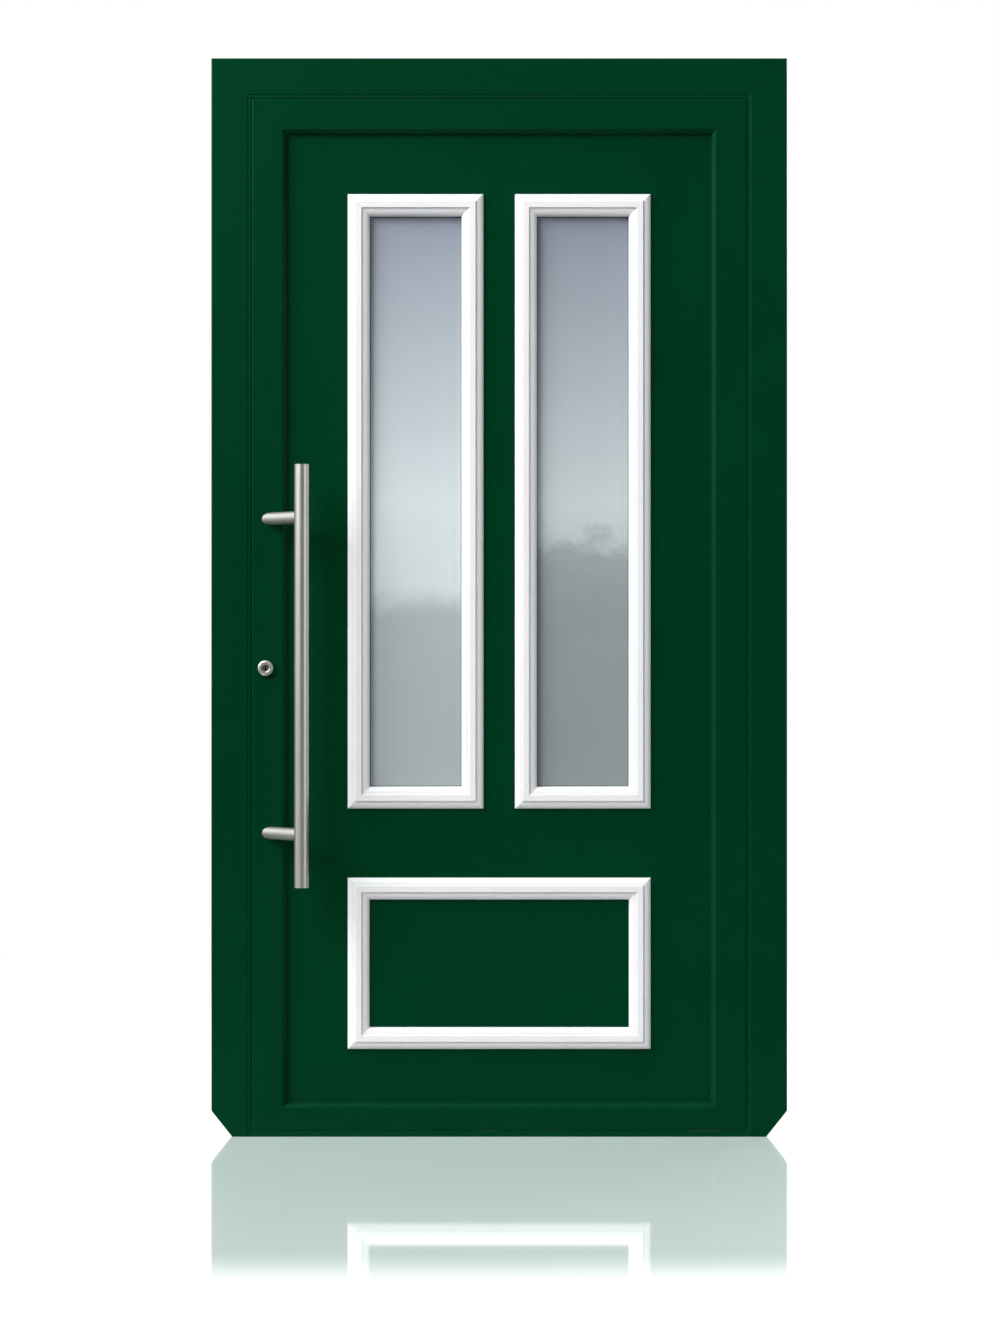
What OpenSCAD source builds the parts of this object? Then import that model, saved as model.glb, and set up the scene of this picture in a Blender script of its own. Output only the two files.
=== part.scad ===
// Panelled entrance door leaf in its three-sided frame with a low threshold.
// Seen from outside, X runs to the right, Y into the house and Z up.
// The origin is on the floor, at the middle of the frame's width and depth.
// Profile sections are drawn in u and d: u is the distance in from the frame's
// outer edge, and d is the depth behind the frame's outside face.

/* [Frame] */
// Overall width of the frame
frame_w = 1100; // [1000:1:1250]
// Overall height of the frame
frame_h = 2060; // [1980:1:2300]
// Depth of the frame and leaf profiles
frame_d = 75; // [73:0.5:85]
// Face width of the frame seen from outside
frame_face = 71; // [66:0.5:80]
// Width of the frame body behind its stop lip
frame_body = 46; // [40:0.5:50]
// Depth of the stop lip
stop_d = 24; // [20:0.5:26]
// Wall thickness of all profiles
wall = 2.5; // [1.8:0.1:3]
// Rounding of the outside edges of the profiles
edge_r = 3; // [1:0.5:4]
// Width of the splay cut at each jamb foot
foot_w = 40; // [20:1:44]
// Height of the splay cut at each jamb foot
foot_h = 50; // [20:1:80]
// Height of the threshold
sill_h = 12; // [8:0.5:20]
// Height of the ribs on the threshold
rib_h = 1.5; // [0.5:0.1:2.5]
// Diameter of the fixing holes through the jambs
fixing_d = 10; // [8:0.5:12]
// Height of the outer fixing holes from the floor and from the frame's top
fixing_end = 150; // [110:1:190]
// Spacing between the outer and inner fixing holes of a jamb
fixing_step = 500; // [400:1:540]

/* [Gaps around the leaf] */
// Shadow joint between frame and leaf, seen from outside
shadow_gap = 6; // [5:0.5:8]
// Room between frame and leaf in the rebate
rebate_gap = 10; // [9:0.5:12]
// Joint between frame and leaf, seen from inside
inner_gap = 5; // [4:0.5:6]
// Room between the stop lip and the leaf, filled by the gasket
stop_gap = 4; // [3:0.5:6]
// Gap under the leaf
floor_gap = 5; // [4:0.5:8]
// Running clearance of seals and sliding pieces
clear = 0.3; // [0.2:0.05:0.5]

/* [Leaf] */
// Face width of the stiles and the top rail, up to the panel
sash_face = 66; // [62:0.5:76]
// Face height of the bottom rail, up to the panel
rail_face = 46; // [44:0.5:80]
// Bevel along the panel
bevel = 7; // [3:0.5:8]
// Thickness of the lip in front of the panel
glaze_lip = 10; // [9:0.5:12]
// Overlap of that lip on the panel and its gaskets
glaze_cover = 18; // [16:0.5:20]
// Thickness of the leaf's lip on the room side
room_lip = 8; // [5:0.5:10]
// Arm length of the corner cleats
cleat_arm = 40; // [25:1:80]
// Thickness of the corner cleats
cleat_t = 20; // [10:1:30]

/* [Panel] */
// Thickness of the glazing gaskets
gasket_t = 3; // [2:0.5:4]
// Thickness of the panel's metal skins
skin_t = 2.5; // [1.5:0.1:3]
// Thickness of the panel's core
core_t = 35; // [32:0.5:38]
// Room between panel edge and profile, bridged by setting blocks
block_t = 5; // [3:0.5:6]
// Length of a setting block
block_l = 100; // [60:1:150]

/* [Moulding frames] */
// Width of the moulding
mould_w = 42; // [38:0.5:50]
// Height of the moulding above the panel
mould_h = 14; // [11:0.5:18]
// Width of the raised flat in the middle
mould_flat = 13; // [8:0.5:15]
// Run of the steep step on each side of the raised flat
mould_step = 1; // [0.5:0.25:2]
// Height of the raised flat above the rounded bands beside it
mould_rise = 3.5; // [2.5:0.25:5]
// Flare of the reveal between moulding and glass
reveal = 0.5; // [0.25:0.25:3]
// Panel beside the moulding frames
side_margin = 117; // [80:1:140]
// Panel above the lites
top_margin = 115; // [80:1:200]
// Panel below the lower moulding frame
low_margin = 103; // [60:1:150]
// Panel between the lites
lite_gap = 60; // [40:1:100]
// Panel between the lites and the lower moulding frame
field_gap = 132; // [80:1:200]
// Height of the lower moulding frame
field_h = 328; // [240:1:420]

/* [Glass] */
// Thickness of a glass pane
pane_t = 4; // [3:0.5:6]
// Depth of the glass below the panel's faces
glass_set = 8; // [5:0.5:9]
// Overlap of the moulding's leg on the glass
glass_hold = 6; // [4:0.5:8]
// Room between glass and cut-out
glass_room = 3; // [2:0.5:5]
// Width of the spacer between the panes
spacer_w = 7; // [5:0.5:10]

/* [Pull bar] */
// Diameter of the bar
bar_d = 28; // [24:0.5:32]
// Length of the bar
bar_l = 800; // [700:1:1000]
// Height of the bar's middle
bar_z = 880; // [780:1:1000]
// Wall of the bar's tube
bar_wall = 2; // [1.5:0.1:3]
// Distance from the bar's ends to the posts
post_inset = 100; // [60:1:150]
// Diameter of the posts
post_d = 24; // [18:0.5:26]
// Stand-off of the bar's middle from the leaf's face
bar_off = 63; // [50:0.5:75]
// Distance from the frame's edge to the middle of a post's foot
foot_u = 113.5; // [108:0.5:116]
// Diameter of the bolts that hold the posts
pull_bolt_d = 8; // [6:0.5:10]

/* [Lock] */
// Backset from the faceplate's front to the cylinder
backset = 51; // [48:0.5:51]
// Height of the cylinder
cyl_z = 895; // [850:1:1000]
// Spacing between cylinder and lever
lever_rise = 92; // [88:1:96]
// Width of the faceplate
plate_w = 24; // [20:0.5:26]
// Thickness of the faceplate
plate_t = 3; // [2:0.5:4]
// Thickness of the strikes
strike_t = 2.5; // [1.5:0.5:3]
// Thickness of the lock case
case_t = 15.6; // [15:0.1:17]
// Thickness of latch and deadbolt
bolt_t = 11.6; // [9:0.1:12]
// Height of the latch
latch_h = 34; // [24:1:36]
// Latch travel
latch_out = 11; // [9:0.5:12]
// Height of the deadbolt
dead_h = 38; // [30:1:40]
// Deadbolt and end bolt travel
dead_out = 20; // [15:0.5:22]
// Diameter of the end bolts
pin_bolt_d = 11; // [8:0.5:12]
// Height of the lower end bolt
low_bolt_z = 250; // [220:1:320]
// Drop of the upper end bolt from the frame's top
high_bolt_drop = 405; // [360:1:450]
// Diameter of the cylinder's plugs
plug_d = 13; // [11:0.5:13.5]
// Diameter of the outside rosette
rose_d = 30; // [26:0.5:34]
// Height of the outside rosette
rose_h = 9; // [6:0.5:12]

/* [Lever] */
// Diameter of the lever's bar
lever_d = 18; // [16:0.5:20]
// Length of the lever from its axis to its end
lever_l = 128; // [110:1:140]
// Stand-off of the lever's bar from the leaf's face
lever_off = 55; // [45:1:65]
// Width of the inside backplate
back_w = 30; // [28:0.5:32]
// Thickness of the inside backplate
back_t = 7; // [4:0.5:9]
// Width across the square spindle
spindle_w = 8; // [7:0.5:9]

/* [Hinges] */
// Length of a hinge
hinge_l = 120; // [90:1:160]
// Diameter of the barrel
barrel_d = 20; // [18:0.5:20]
// Diameter of the pin
pin_d = 10; // [8:0.5:11]
// Thickness of the hinge plates
hinge_t = 4; // [3:0.5:5]
// Width of the leaf plates
hinge_w = 36; // [28:1:50]
// Height of the lowest hinge's middle
hinge_low = 260; // [200:1:350]
// Drop of the highest hinge's middle from the frame's top
hinge_drop = 250; // [200:1:350]

/* [Hidden] */
$fn = 48;

green = [0.0, 0.21, 0.115];
white = [0.97, 0.96, 0.95];
steel = [0.74, 0.75, 0.76];
rubber = [0.06, 0.06, 0.06];

// How far a cutting shape runs past what it cuts
spare = 1;

// Small sizes of the frame
plug_over = 15;
rib_w = 3;
rib_end = 20;
stop_gasket_w = 13;
stop_lip_back = 0.5;
strike_side = 2;
strike_end = 25;
end_strike_half = 45;
jamb_room = 1.5;
strike_room = 1.2;

// Small sizes of the leaf and its panel
bead_r = 5;
flat_r = 1;
seal_set = 3;
seal_w = 15;
gasket_inset = 2;
block_inset = 1;

// Small sizes of the lock, from the cylinder, the lever and the faceplate
dead_rise = 33;
latch_rise = 43;
bolt_set = 24;
case_drop = 65;
case_over = 33;
case_room = 1;
plate_over = 90;
box_half = 40;
box_l = 50;
latch_tail = 24;
nose_step = 2;
dead_tail = 34;
pin_bolt_l = 42;
tail_room = 3;
cam_r = 15;
cam_w = 9.6;
cam_tip_w = 8;
cam_room = 0.6;
cam_gap = 0.4;
cam_inset = 0.5;
euro_wall = 2;
euro_w = 10;
euro_drop = 24.5;
plug_set = 3;
plug_room = 1;
plug_proud = 2;
key_w = 2.4;
key_low = 1.5;
key_high = 2.5;
key_deep = 20;
follower_r = 9;
spindle_hole_r = 8;
spindle_over = 3;
spindle_in = 26;
socket_l = 27;
rod_w = 7;
rod_t = 3;
rod_gap = 0.4;
rod_low = 30;
rod_high = 10;

// Small sizes of the handles
rose_edge = 2;
rose_r = 4;
rose_lead = 2;
back_under = 14;
back_over = 32;
lever_bend = 20;
cap_l = 12;
bolt_hole_l = 12;
bolt_in = 11;
bolt_head = 6;

// Small sizes of the hinges
barrel_off = 1;
barrel_web = 3;
web_in = 2;
hinge_edge = 6;
hinge_back = 2;
knuckle_gap = 0.5;
knuckle_room = 1;
pin_clear = 0.05;
pin_cap_h = 3;
pin_cap_in = 2;

// Section lines of frame and leaf, as distances u and d
leaf_u = frame_face + shadow_gap;
panel_u = leaf_u + sash_face;
bead_u = panel_u - glaze_cover;
edge_u = bead_u + block_t;
body_u = frame_body + rebate_gap;
lip_u = frame_body + inner_gap;
step_d = stop_d + stop_gap;
rail_u = panel_u - rail_face;
leaf_z = sill_h + floor_gap;
panel_z = leaf_z + rail_face;

// Depths of the panel's layers
skin_d = glaze_lip + gasket_t;
core_d = skin_d + skin_t;
back_d = core_d + core_t;
room_d = back_d + skin_t;
bead_d = room_d + gasket_t;

// Moulding frames: the lites fill what the margins leave
view_w = frame_w - 2 * panel_u;
view_h = frame_h - panel_u - panel_z;
field_w = view_w - 2 * side_margin;
lite_w = (field_w - lite_gap) / 2;
lite_h = view_h - top_margin - field_gap - field_h - low_margin;
field_zc = panel_z + low_margin + field_h / 2;
lite_zc = panel_z + low_margin + field_h + field_gap + lite_h / 2;
lite_xc = (lite_w + lite_gap) / 2;
leg_out = mould_w + reveal - glass_hold;
cut_in = leg_out - glass_room;

// Lock: places on the lock stile
plate_u = body_u - plate_t;
cyl_u = plate_u + backset;
lever_z = cyl_z + lever_rise;
dead_z = cyl_z + dead_rise;
latch_z = lever_z + latch_rise;
high_bolt_z = frame_h - high_bolt_drop;
bolt_d = step_d + bolt_set;
case_low = cyl_z - case_drop;
case_high = latch_z + latch_h / 2 + case_over;
case_u = bead_u - wall - case_room;
plate_low = low_bolt_z - plate_over;
plate_high = high_bolt_z + plate_over;
cyl_out = wall + clear;
cyl_in = frame_d + back_t + plug_proud;
euro_r = plug_d / 2 + euro_wall;
cam_half = cam_w / 2 + cam_gap;

// Hinges: the axis stands over the room-side joint
axis_u = lip_u;
axis_d = frame_d + barrel_d / 2 + barrel_off;
hinge_mid = (hinge_low + frame_h - hinge_drop) / 2;
knuckle = hinge_l / 3;

// Pull bar: middle of the tube and of its posts
bar_x = -frame_w / 2 + foot_u + bar_off;
post_pitch = bar_l - 2 * post_inset;

function ux(u) = -frame_w / 2 + u;
function dy(d) = -frame_d / 2 + d;
function arc(c, r, a0, a1, n = 5) =
    [for (i = [0:n]) let (a = a0 + (a1 - a0) * i / n) c + r * [cos(a), sin(a)]];

// Sections in u and d
module frame_section() {
    inset = frame_face - wall;
    difference() {
        polygon(concat(
            arc([edge_r, edge_r], edge_r, 180, 270),
            arc([frame_face - edge_r, edge_r], edge_r, 270, 360),
            [[frame_face, stop_d], [frame_body, stop_d], [frame_body, frame_d], [0, frame_d]]));
        polygon([[wall, wall], [inset, wall], [inset, stop_d - wall], [wall, stop_d - wall]]);
        polygon([[wall, stop_d], [frame_body - wall, stop_d],
            [frame_body - wall, frame_d - wall], [wall, frame_d - wall]]);
    }
}

// The outer chamber of the leaf runs into the lip in front of the panel
function outer_chamber(u0) =
    let (slant = panel_u - bevel + wall * (1 - sqrt(2)))
    [[u0 + wall, wall], [slant, wall], [slant + glaze_lip - 2 * wall, glaze_lip - wall],
     [bead_u - wall, glaze_lip - wall], [bead_u - wall, step_d], [u0 + wall, step_d]];
function inner_chamber(u0) =
    [[u0 + wall, step_d + wall], [bead_u - wall, step_d + wall],
     [bead_u - wall, frame_d - wall], [u0 + wall, frame_d - wall]];

module sash_section() {
    difference() {
        polygon(concat(
            arc([leaf_u + edge_r, edge_r], edge_r, 180, 270),
            [[panel_u - bevel, 0], [panel_u, bevel], [panel_u, glaze_lip], [bead_u, glaze_lip],
             [bead_u, frame_d], [lip_u, frame_d], [lip_u, frame_d - room_lip],
             [body_u, frame_d - room_lip], [body_u, step_d], [leaf_u, step_d]]));
        polygon(outer_chamber(leaf_u));
        polygon(inner_chamber(body_u));
    }
}

module rail_section() {
    difference() {
        polygon([[rail_u, 0], [panel_u - bevel, 0], [panel_u, bevel], [panel_u, glaze_lip],
            [bead_u, glaze_lip], [bead_u, frame_d], [rail_u, frame_d]]);
        polygon(outer_chamber(rail_u));
        polygon(inner_chamber(rail_u));
    }
}

module bead_section() {
    polygon(concat(
        [[bead_u, bead_d], [panel_u, bead_d]],
        arc([panel_u - bead_r, frame_d - bead_r], bead_r, 0, 90),
        [[bead_u, frame_d]]));
}

module strip_section(u0, u1, d0, d1) {
    polygon([[u0, d0], [u1, d0], [u1, d1], [u0, d1]]);
}

// Members: a section run up the lock side, along the head or along the floor side
module upright(z0, z1) {
    translate([ux(0), dy(0), z0]) linear_extrude(z1 - z0) children();
}

module along_head() {
    translate([-frame_w / 2, dy(0), frame_h]) rotate([90, 0, 90])
        linear_extrude(frame_w) rotate(-90) children();
}

module along_floor() {
    translate([-frame_w / 2, dy(0), panel_z - panel_u]) rotate([90, 0, 90])
        linear_extrude(frame_w) mirror([1, -1]) children();
}

// Keeps what lies inside an outline drawn on the front, in X and Z
module within(outline) {
    intersection() {
        children();
        rotate([90, 0, 0]) linear_extrude(2 * frame_d, center = true) polygon(outline);
    }
}

function side_outline(u0, u1, z0, z1) =
    [[ux(u0), z0], [ux(u1), z1], [ux(u1), frame_h - u1], [ux(u0), frame_h - u0]];
function head_outline(u0, u1) =
    [[ux(u0), frame_h - u0], [ux(u1), frame_h - u1], [-ux(u1), frame_h - u1], [-ux(u0), frame_h - u0]];
function floor_outline(u0, u1) =
    [[ux(u0), panel_z - panel_u + u0], [ux(u1), panel_z - panel_u + u1],
     [-ux(u1), panel_z - panel_u + u1], [-ux(u0), panel_z - panel_u + u0]];

// Upright sheet between two depths, as far in from the sides and the top as u
module sheet(u, z0, d0, d1) {
    translate([ux(u), dy(d0), z0]) cube([-2 * ux(u), d1 - d0, frame_h - u - z0]);
}

// A closed flat ring around the leaf
module leaf_ring(u0, u1, d0, d1) {
    low = panel_z - panel_u;
    difference() {
        sheet(u0, low + u0, d0, d1);
        sheet(u1, low + u1, d0 - spare, d1 + spare);
    }
}

// Box between two corners given in u, d and z on the lock side
module lock_box(a, b) {
    translate([ux(a[0]), dy(a[1]), a[2]]) cube(b - a);
}

// Round bar along Y at a place on the lock side
module lock_bar(u, z, r, d0, d1) {
    translate([ux(u), dy(d0), z]) rotate([-90, 0, 0]) cylinder(r = r, h = d1 - d0);
}

// Frame
function jamb_outline() =
    [[ux(foot_w), 0], [ux(frame_face), 0], [ux(frame_face), frame_h - frame_face],
     [ux(0), frame_h], [ux(0), foot_h]];

module fixing_holes() {
    for (z = [fixing_end, fixing_end + fixing_step,
            frame_h - fixing_end, frame_h - fixing_end - fixing_step])
        translate([ux(-spare), dy(bolt_d), z]) rotate([0, 90, 0])
            cylinder(d = fixing_d, h = frame_body + 2 * spare);
}

module jamb() {
    difference() {
        within(jamb_outline()) upright(0, frame_h) frame_section();
        fixing_holes();
    }
}

// Room that the bolts need in the jamb's wall and in the strikes
module bolt_windows(u0, u1, room) {
    t = bolt_t / 2 + room;
    pin = pin_bolt_d / 2 + room;
    lock_box([u0, bolt_d - t, latch_z - latch_h / 2 - room],
        [u1, bolt_d + t, latch_z + latch_h / 2 + room]);
    lock_box([u0, bolt_d - t, dead_z - dead_h / 2 - room],
        [u1, bolt_d + t, dead_z + dead_h / 2 + room]);
    for (z = [low_bolt_z, high_bolt_z])
        translate([ux(u0), dy(bolt_d), z]) rotate([0, 90, 0]) cylinder(r = pin, h = u1 - u0);
}

module frame_head() {
    color(green) within([[ux(0), frame_h], [ux(frame_face), frame_h - frame_face],
        [-ux(frame_face), frame_h - frame_face], [-ux(0), frame_h]])
        along_head() frame_section();
}

module lock_jamb() {
    color(green) difference() {
        jamb();
        bolt_windows(frame_body - wall - spare, frame_body + spare, jamb_room);
    }
}

module hinge_jamb() {
    color(green) mirror([1, 0, 0]) jamb();
}

// Plastic plugs close both chambers at the splayed jamb feet
module foot_plug() {
    a = wall + clear;
    within(jamb_outline()) upright(0, foot_h + plug_over) {
        strip_section(a, frame_face - a, a, stop_d - a);
        strip_section(a, frame_body - a, stop_d + clear, frame_d - a);
    }
}

module jamb_foot_plugs() {
    color(rubber) {
        foot_plug();
        mirror([1, 0, 0]) foot_plug();
    }
}

// Angle that joins two mitred members inside their inner chambers
module cleat(u0, u1, d0) {
    a = u0 + clear;
    b = u1 - clear;
    c = b + cleat_arm;
    translate([0, dy(d0 + clear), 0]) rotate([-90, 0, 0]) linear_extrude(cleat_t) mirror([0, 1])
        polygon([[ux(a), frame_h - a], [ux(c), frame_h - a], [ux(c), frame_h - b],
            [ux(b), frame_h - b], [ux(b), frame_h - c], [ux(a), frame_h - c]]);
}

module frame_corner_cleats() {
    color(steel) for (side = [0, 1]) mirror([side, 0, 0])
        cleat(wall, frame_body - wall, stop_d);
}

// Low threshold between the jambs, with grooves as grip ribs
module threshold() {
    front = -ux(frame_face);
    rear = -ux(frame_body);
    ribs = 5;
    pitch = (frame_d - step_d) / (ribs + 1);
    color(green) difference() {
        linear_extrude(sill_h) polygon([[-front, dy(0)], [front, dy(0)], [front, dy(stop_d)],
            [rear, dy(stop_d)], [rear, dy(frame_d)], [-rear, dy(frame_d)], [-rear, dy(stop_d)],
            [-front, dy(stop_d)]]);
        for (i = [1:ribs]) translate([rib_end - front, dy(step_d + i * pitch) - rib_w / 2, sill_h - rib_h])
            cube([2 * (front - rib_end), rib_w, rib_h + spare]);
    }
}

module stop_gasket() {
    u0 = frame_face - stop_gasket_w;
    u1 = frame_face + shadow_gap / 2 - stop_lip_back;
    d1 = step_d - clear;
    color(rubber) difference() {
        sheet(u0, sill_h, stop_d, d1);
        sheet(u1, sill_h - spare, stop_d - spare, d1 + spare);
    }
}

module strike_plate(z0, z1) {
    half = plate_w / 2 + strike_side;
    difference() {
        lock_box([frame_body, bolt_d - half, z0], [frame_body + strike_t, bolt_d + half, z1]);
        bolt_windows(frame_body - spare, frame_body + strike_t + spare, strike_room);
    }
}

module main_strike() {
    color(steel) strike_plate(dead_z - dead_h / 2 - strike_end, latch_z + latch_h / 2 + strike_end);
}

module end_strikes() {
    color(steel) for (z = [low_bolt_z, high_bolt_z]) strike_plate(z - end_strike_half, z + end_strike_half);
}

// Leaf profiles
module stile() {
    within([[ux(lip_u), leaf_z], [ux(rail_u), leaf_z], [ux(panel_u), panel_z],
        [ux(panel_u), frame_h - panel_u], [ux(lip_u), frame_h - lip_u]])
        upright(0, frame_h) sash_section();
}

module euro_outline(room) {
    circle(r = euro_r + room);
    translate([-euro_w / 2 - room, -euro_drop - room]) square([euro_w + 2 * room, euro_drop + room]);
}

// Cylinder profile run along Y, with its plug axis on the lock's cylinder line
module euro_bar(d0, d1, room) {
    translate([ux(cyl_u), dy(d1), cyl_z]) rotate([90, 0, 0]) linear_extrude(d1 - d0) euro_outline(room);
}

module sash_lock_stile() {
    slot = case_t / 2 + clear;
    color(green) difference() {
        stile();
        lock_box([body_u - spare, bolt_d - slot, case_low - clear],
            [body_u + wall + spare, bolt_d + slot, case_high + clear]);
        for (z = [low_bolt_z, high_bolt_z])
            lock_box([body_u - spare, bolt_d - slot, z - box_half - clear],
                [body_u + wall + spare, bolt_d + slot, z + box_half + clear]);
        lock_bar(cyl_u, cyl_z, plug_d / 2 + plug_room, -spare, wall + spare);
        euro_bar(step_d - spare, frame_d + spare, clear);
        lock_bar(cyl_u, lever_z, spindle_hole_r, frame_d - wall - spare, frame_d + spare);
        for (s = [-1, 1])
            lock_bar(foot_u, bar_z + s * post_pitch / 2, pull_bolt_d / 2 + clear, -spare, wall + spare);
    }
}

module sash_hinge_stile() {
    color(green) mirror([1, 0, 0]) stile();
}

module sash_top_rail() {
    color(green) within(head_outline(lip_u, panel_u)) along_head() sash_section();
}

module sash_bottom_rail() {
    color(green) within(floor_outline(rail_u, panel_u)) along_floor() rail_section();
}

// Lower corners: the bottom rail is lower than the stiles are wide
module low_cleat() {
    a = body_u + wall + clear;
    b = bead_u - wall - clear;
    z0 = leaf_z + wall + clear;
    z1 = panel_z - glaze_cover - wall - clear;
    translate([0, dy(step_d + wall + clear), 0]) rotate([-90, 0, 0]) linear_extrude(cleat_t) mirror([0, 1])
        polygon([[ux(a), z0], [ux(b + cleat_arm), z0], [ux(b + cleat_arm), z1],
            [ux(b), z1], [ux(b), z1 + cleat_arm], [ux(a), z1 + cleat_arm]]);
}

module sash_corner_cleats() {
    color(steel) for (side = [0, 1]) mirror([side, 0, 0]) {
        cleat(body_u + wall, bead_u - wall, step_d + wall);
        low_cleat();
    }
}

module bottom_seal() {
    color(rubber) translate([ux(rail_u), dy(step_d + seal_set), sill_h + clear])
        cube([-2 * ux(rail_u), seal_w, floor_gap - clear]);
}

// Panel: two metal skins on an insulating core, clamped between gaskets
module lite_cuts(d0, d1) {
    for (s = [-1, 1]) translate([s * lite_xc - lite_w / 2 + cut_in, dy(d0), lite_zc - lite_h / 2 + cut_in])
        cube([lite_w - 2 * cut_in, d1 - d0, lite_h - 2 * cut_in]);
}

module panel_layer(d0, d1) {
    difference() {
        sheet(edge_u, panel_z - panel_u + edge_u, d0, d1);
        lite_cuts(d0 - spare, d1 + spare);
    }
}

module panel_outer_skin() {
    color(green) panel_layer(skin_d, core_d);
}

module panel_core() {
    color([0.9, 0.85, 0.7]) panel_layer(core_d, back_d);
}

module panel_inner_skin() {
    color(green) panel_layer(back_d, room_d);
}

module outer_glazing_gasket() {
    color(rubber) leaf_ring(edge_u + gasket_inset, panel_u - gasket_inset, glaze_lip, skin_d);
}

module inner_glazing_gasket() {
    color(rubber) leaf_ring(edge_u + gasket_inset, panel_u - gasket_inset, room_d, bead_d);
}

module setting_blocks() {
    low = panel_z - glaze_cover;
    color(rubber) for (s = [-1, 1]) translate([s * view_w / 3 - block_l / 2, dy(skin_d + block_inset), low])
        cube([block_l, room_d - skin_d - 2 * block_inset, block_t]);
}

module side_beads() {
    color(green) for (side = [0, 1]) mirror([side, 0, 0])
        within(side_outline(bead_u, panel_u, panel_z - glaze_cover, panel_z))
            upright(0, frame_h) bead_section();
}

module top_bead() {
    color(green) within(head_outline(bead_u, panel_u)) along_head() bead_section();
}

module bottom_bead() {
    color(green) within(floor_outline(bead_u, panel_u)) along_floor() bead_section();
}

// Moulding section: w in from the outer edge, h up from the panel. Three ridges stand side by
// side: a rounded band, a raised flat and a rounded band again, with a small step between them.
function ovolo(w, h, n = 6) = [for (i = [0:n]) let (a = 90 * i / n) [w * (1 - cos(a)), h * sin(a)]];
function run_on(a, b) = b + spare * (b - a) / norm(b - a);

// Section across the whole ring that climbs along rise at both ends, high between them
function plateau(span, rise) =
    let (n = len(rise), up = concat(rise, [run_on(rise[n - 2], rise[n - 1])]))
    concat([for (p = up) [p[0] - span / 2, p[1]]], [for (i = [n:-1:0]) [span / 2 - up[i][0], up[i][1]]]);

// Section that stands high at one end of the ring and drops along fall
function flank(span, fall) =
    let (n = len(fall), top = run_on(fall[1], fall[0]), foot = run_on(fall[n - 2], fall[n - 1]),
         drop = concat([[-spare, foot[1]], [-spare, top[1]], top], fall, [foot]))
    [for (p = drop) [p[0] - span / 2, p[1]]];

// Runs a section drawn in X and Z along Y
module run(l) {
    rotate([90, 0, 0]) linear_extrude(l + 4 * spare, center = true) children();
}

// A ring with mitred corners, whose section climbs along rise and then drops along fall
module ridge_ring(w, h, rise, fall) {
    intersection() {
        run(h) polygon(plateau(w, rise));
        rotate(90) run(w) polygon(plateau(h, rise));
        for (side = [0, 180]) rotate(side) {
            run(h) polygon(flank(w, fall));
            rotate(90) run(w) polygon(flank(h, fall));
        }
    }
}

// Moulding frame on the panel, with X along its width, Y up its height and Z off the panel.
// A leg longer than zero reaches down to the glass inside the cut-out.
module moulding_frame(w, h, leg) {
    half = (mould_w - mould_flat) / 2;
    far = mould_w - half;
    soft = mould_h - flat_r;
    band = mould_h - mould_rise;
    knee = band - flat_r;
    rim = ovolo(half, band);
    last = len(rim) - 1;
    foot = mould_w + (leg > 0 ? reveal : 0);
    keep = 2 * leg_out;
    ridge_ring(w, h, rim, [[half, band], [half + band, 0]]);
    ridge_ring(w, h, [[half - mould_step, 0], [half - mould_step, knee], [half, soft],
            [half + flat_r, mould_h], [mould_w / 2, mould_h]],
        [[far - flat_r, mould_h], [far, soft], [far + mould_step, knee], [far + mould_step, 0]]);
    difference() {
        ridge_ring(w, h, [[far - band - leg, -leg], [far, band]],
            concat([for (i = [last:-1:leg > 0 ? 1 : 0]) [mould_w - rim[i][0], rim[i][1]]],
                leg > 0 ? [[foot, -leg]] : []));
        if (leg > 0) translate([0, 0, -leg - spare]) linear_extrude(leg + spare) difference() {
            square([w + spare, h + spare], center = true);
            square([w - keep, h - keep], center = true);
        }
    }
}

// Sets a moulding frame on the outside or the room side of the panel
module on_panel(x, z, inside) {
    if (inside) translate([x, dy(room_d), z]) mirror([0, 1, 0]) rotate([90, 0, 0]) children();
    else translate([x, dy(skin_d), z]) rotate([90, 0, 0]) children();
}

module lite_moulding(side, inside) {
    color(white) on_panel(side * lite_xc, lite_zc, inside)
        moulding_frame(lite_w, lite_h, glass_set - clear);
}

module field_moulding(inside) {
    color(white) on_panel(0, field_zc, inside) moulding_frame(field_w, field_h, 0);
}

module left_outer_moulding() {
    lite_moulding(-1, false);
}

module right_outer_moulding() {
    lite_moulding(1, false);
}

module lower_outer_moulding() {
    field_moulding(false);
}

module left_inner_moulding() {
    lite_moulding(-1, true);
}

module right_inner_moulding() {
    lite_moulding(1, true);
}

module lower_inner_moulding() {
    field_moulding(true);
}

// Sealed double glazing in each lite
module glass_sheet(d0, d1, inset) {
    w = lite_w - 2 * leg_out - 2 * inset;
    h = lite_h - 2 * leg_out - 2 * inset;
    for (s = [-1, 1]) translate([s * lite_xc - w / 2, dy(d0), lite_zc - h / 2]) cube([w, d1 - d0, h]);
}

module outer_panes() {
    color([0.7, 0.8, 0.85]) glass_sheet(skin_d + glass_set, skin_d + glass_set + pane_t, 0);
}

module inner_panes() {
    color([0.7, 0.8, 0.85]) glass_sheet(room_d - glass_set - pane_t, room_d - glass_set, 0);
}

module glass_spacers() {
    d0 = skin_d + glass_set + pane_t;
    d1 = room_d - glass_set - pane_t;
    color(steel) difference() {
        glass_sheet(d0, d1, 0);
        glass_sheet(d0 - spare, d1 + spare, spacer_w);
    }
}

// Lock
module lock_faceplate() {
    half = plate_w / 2;
    color(steel) difference() {
        lock_box([plate_u, bolt_d - half, plate_low], [body_u, bolt_d + half, plate_high]);
        bolt_windows(plate_u - spare, body_u + spare, clear);
    }
}

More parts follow.
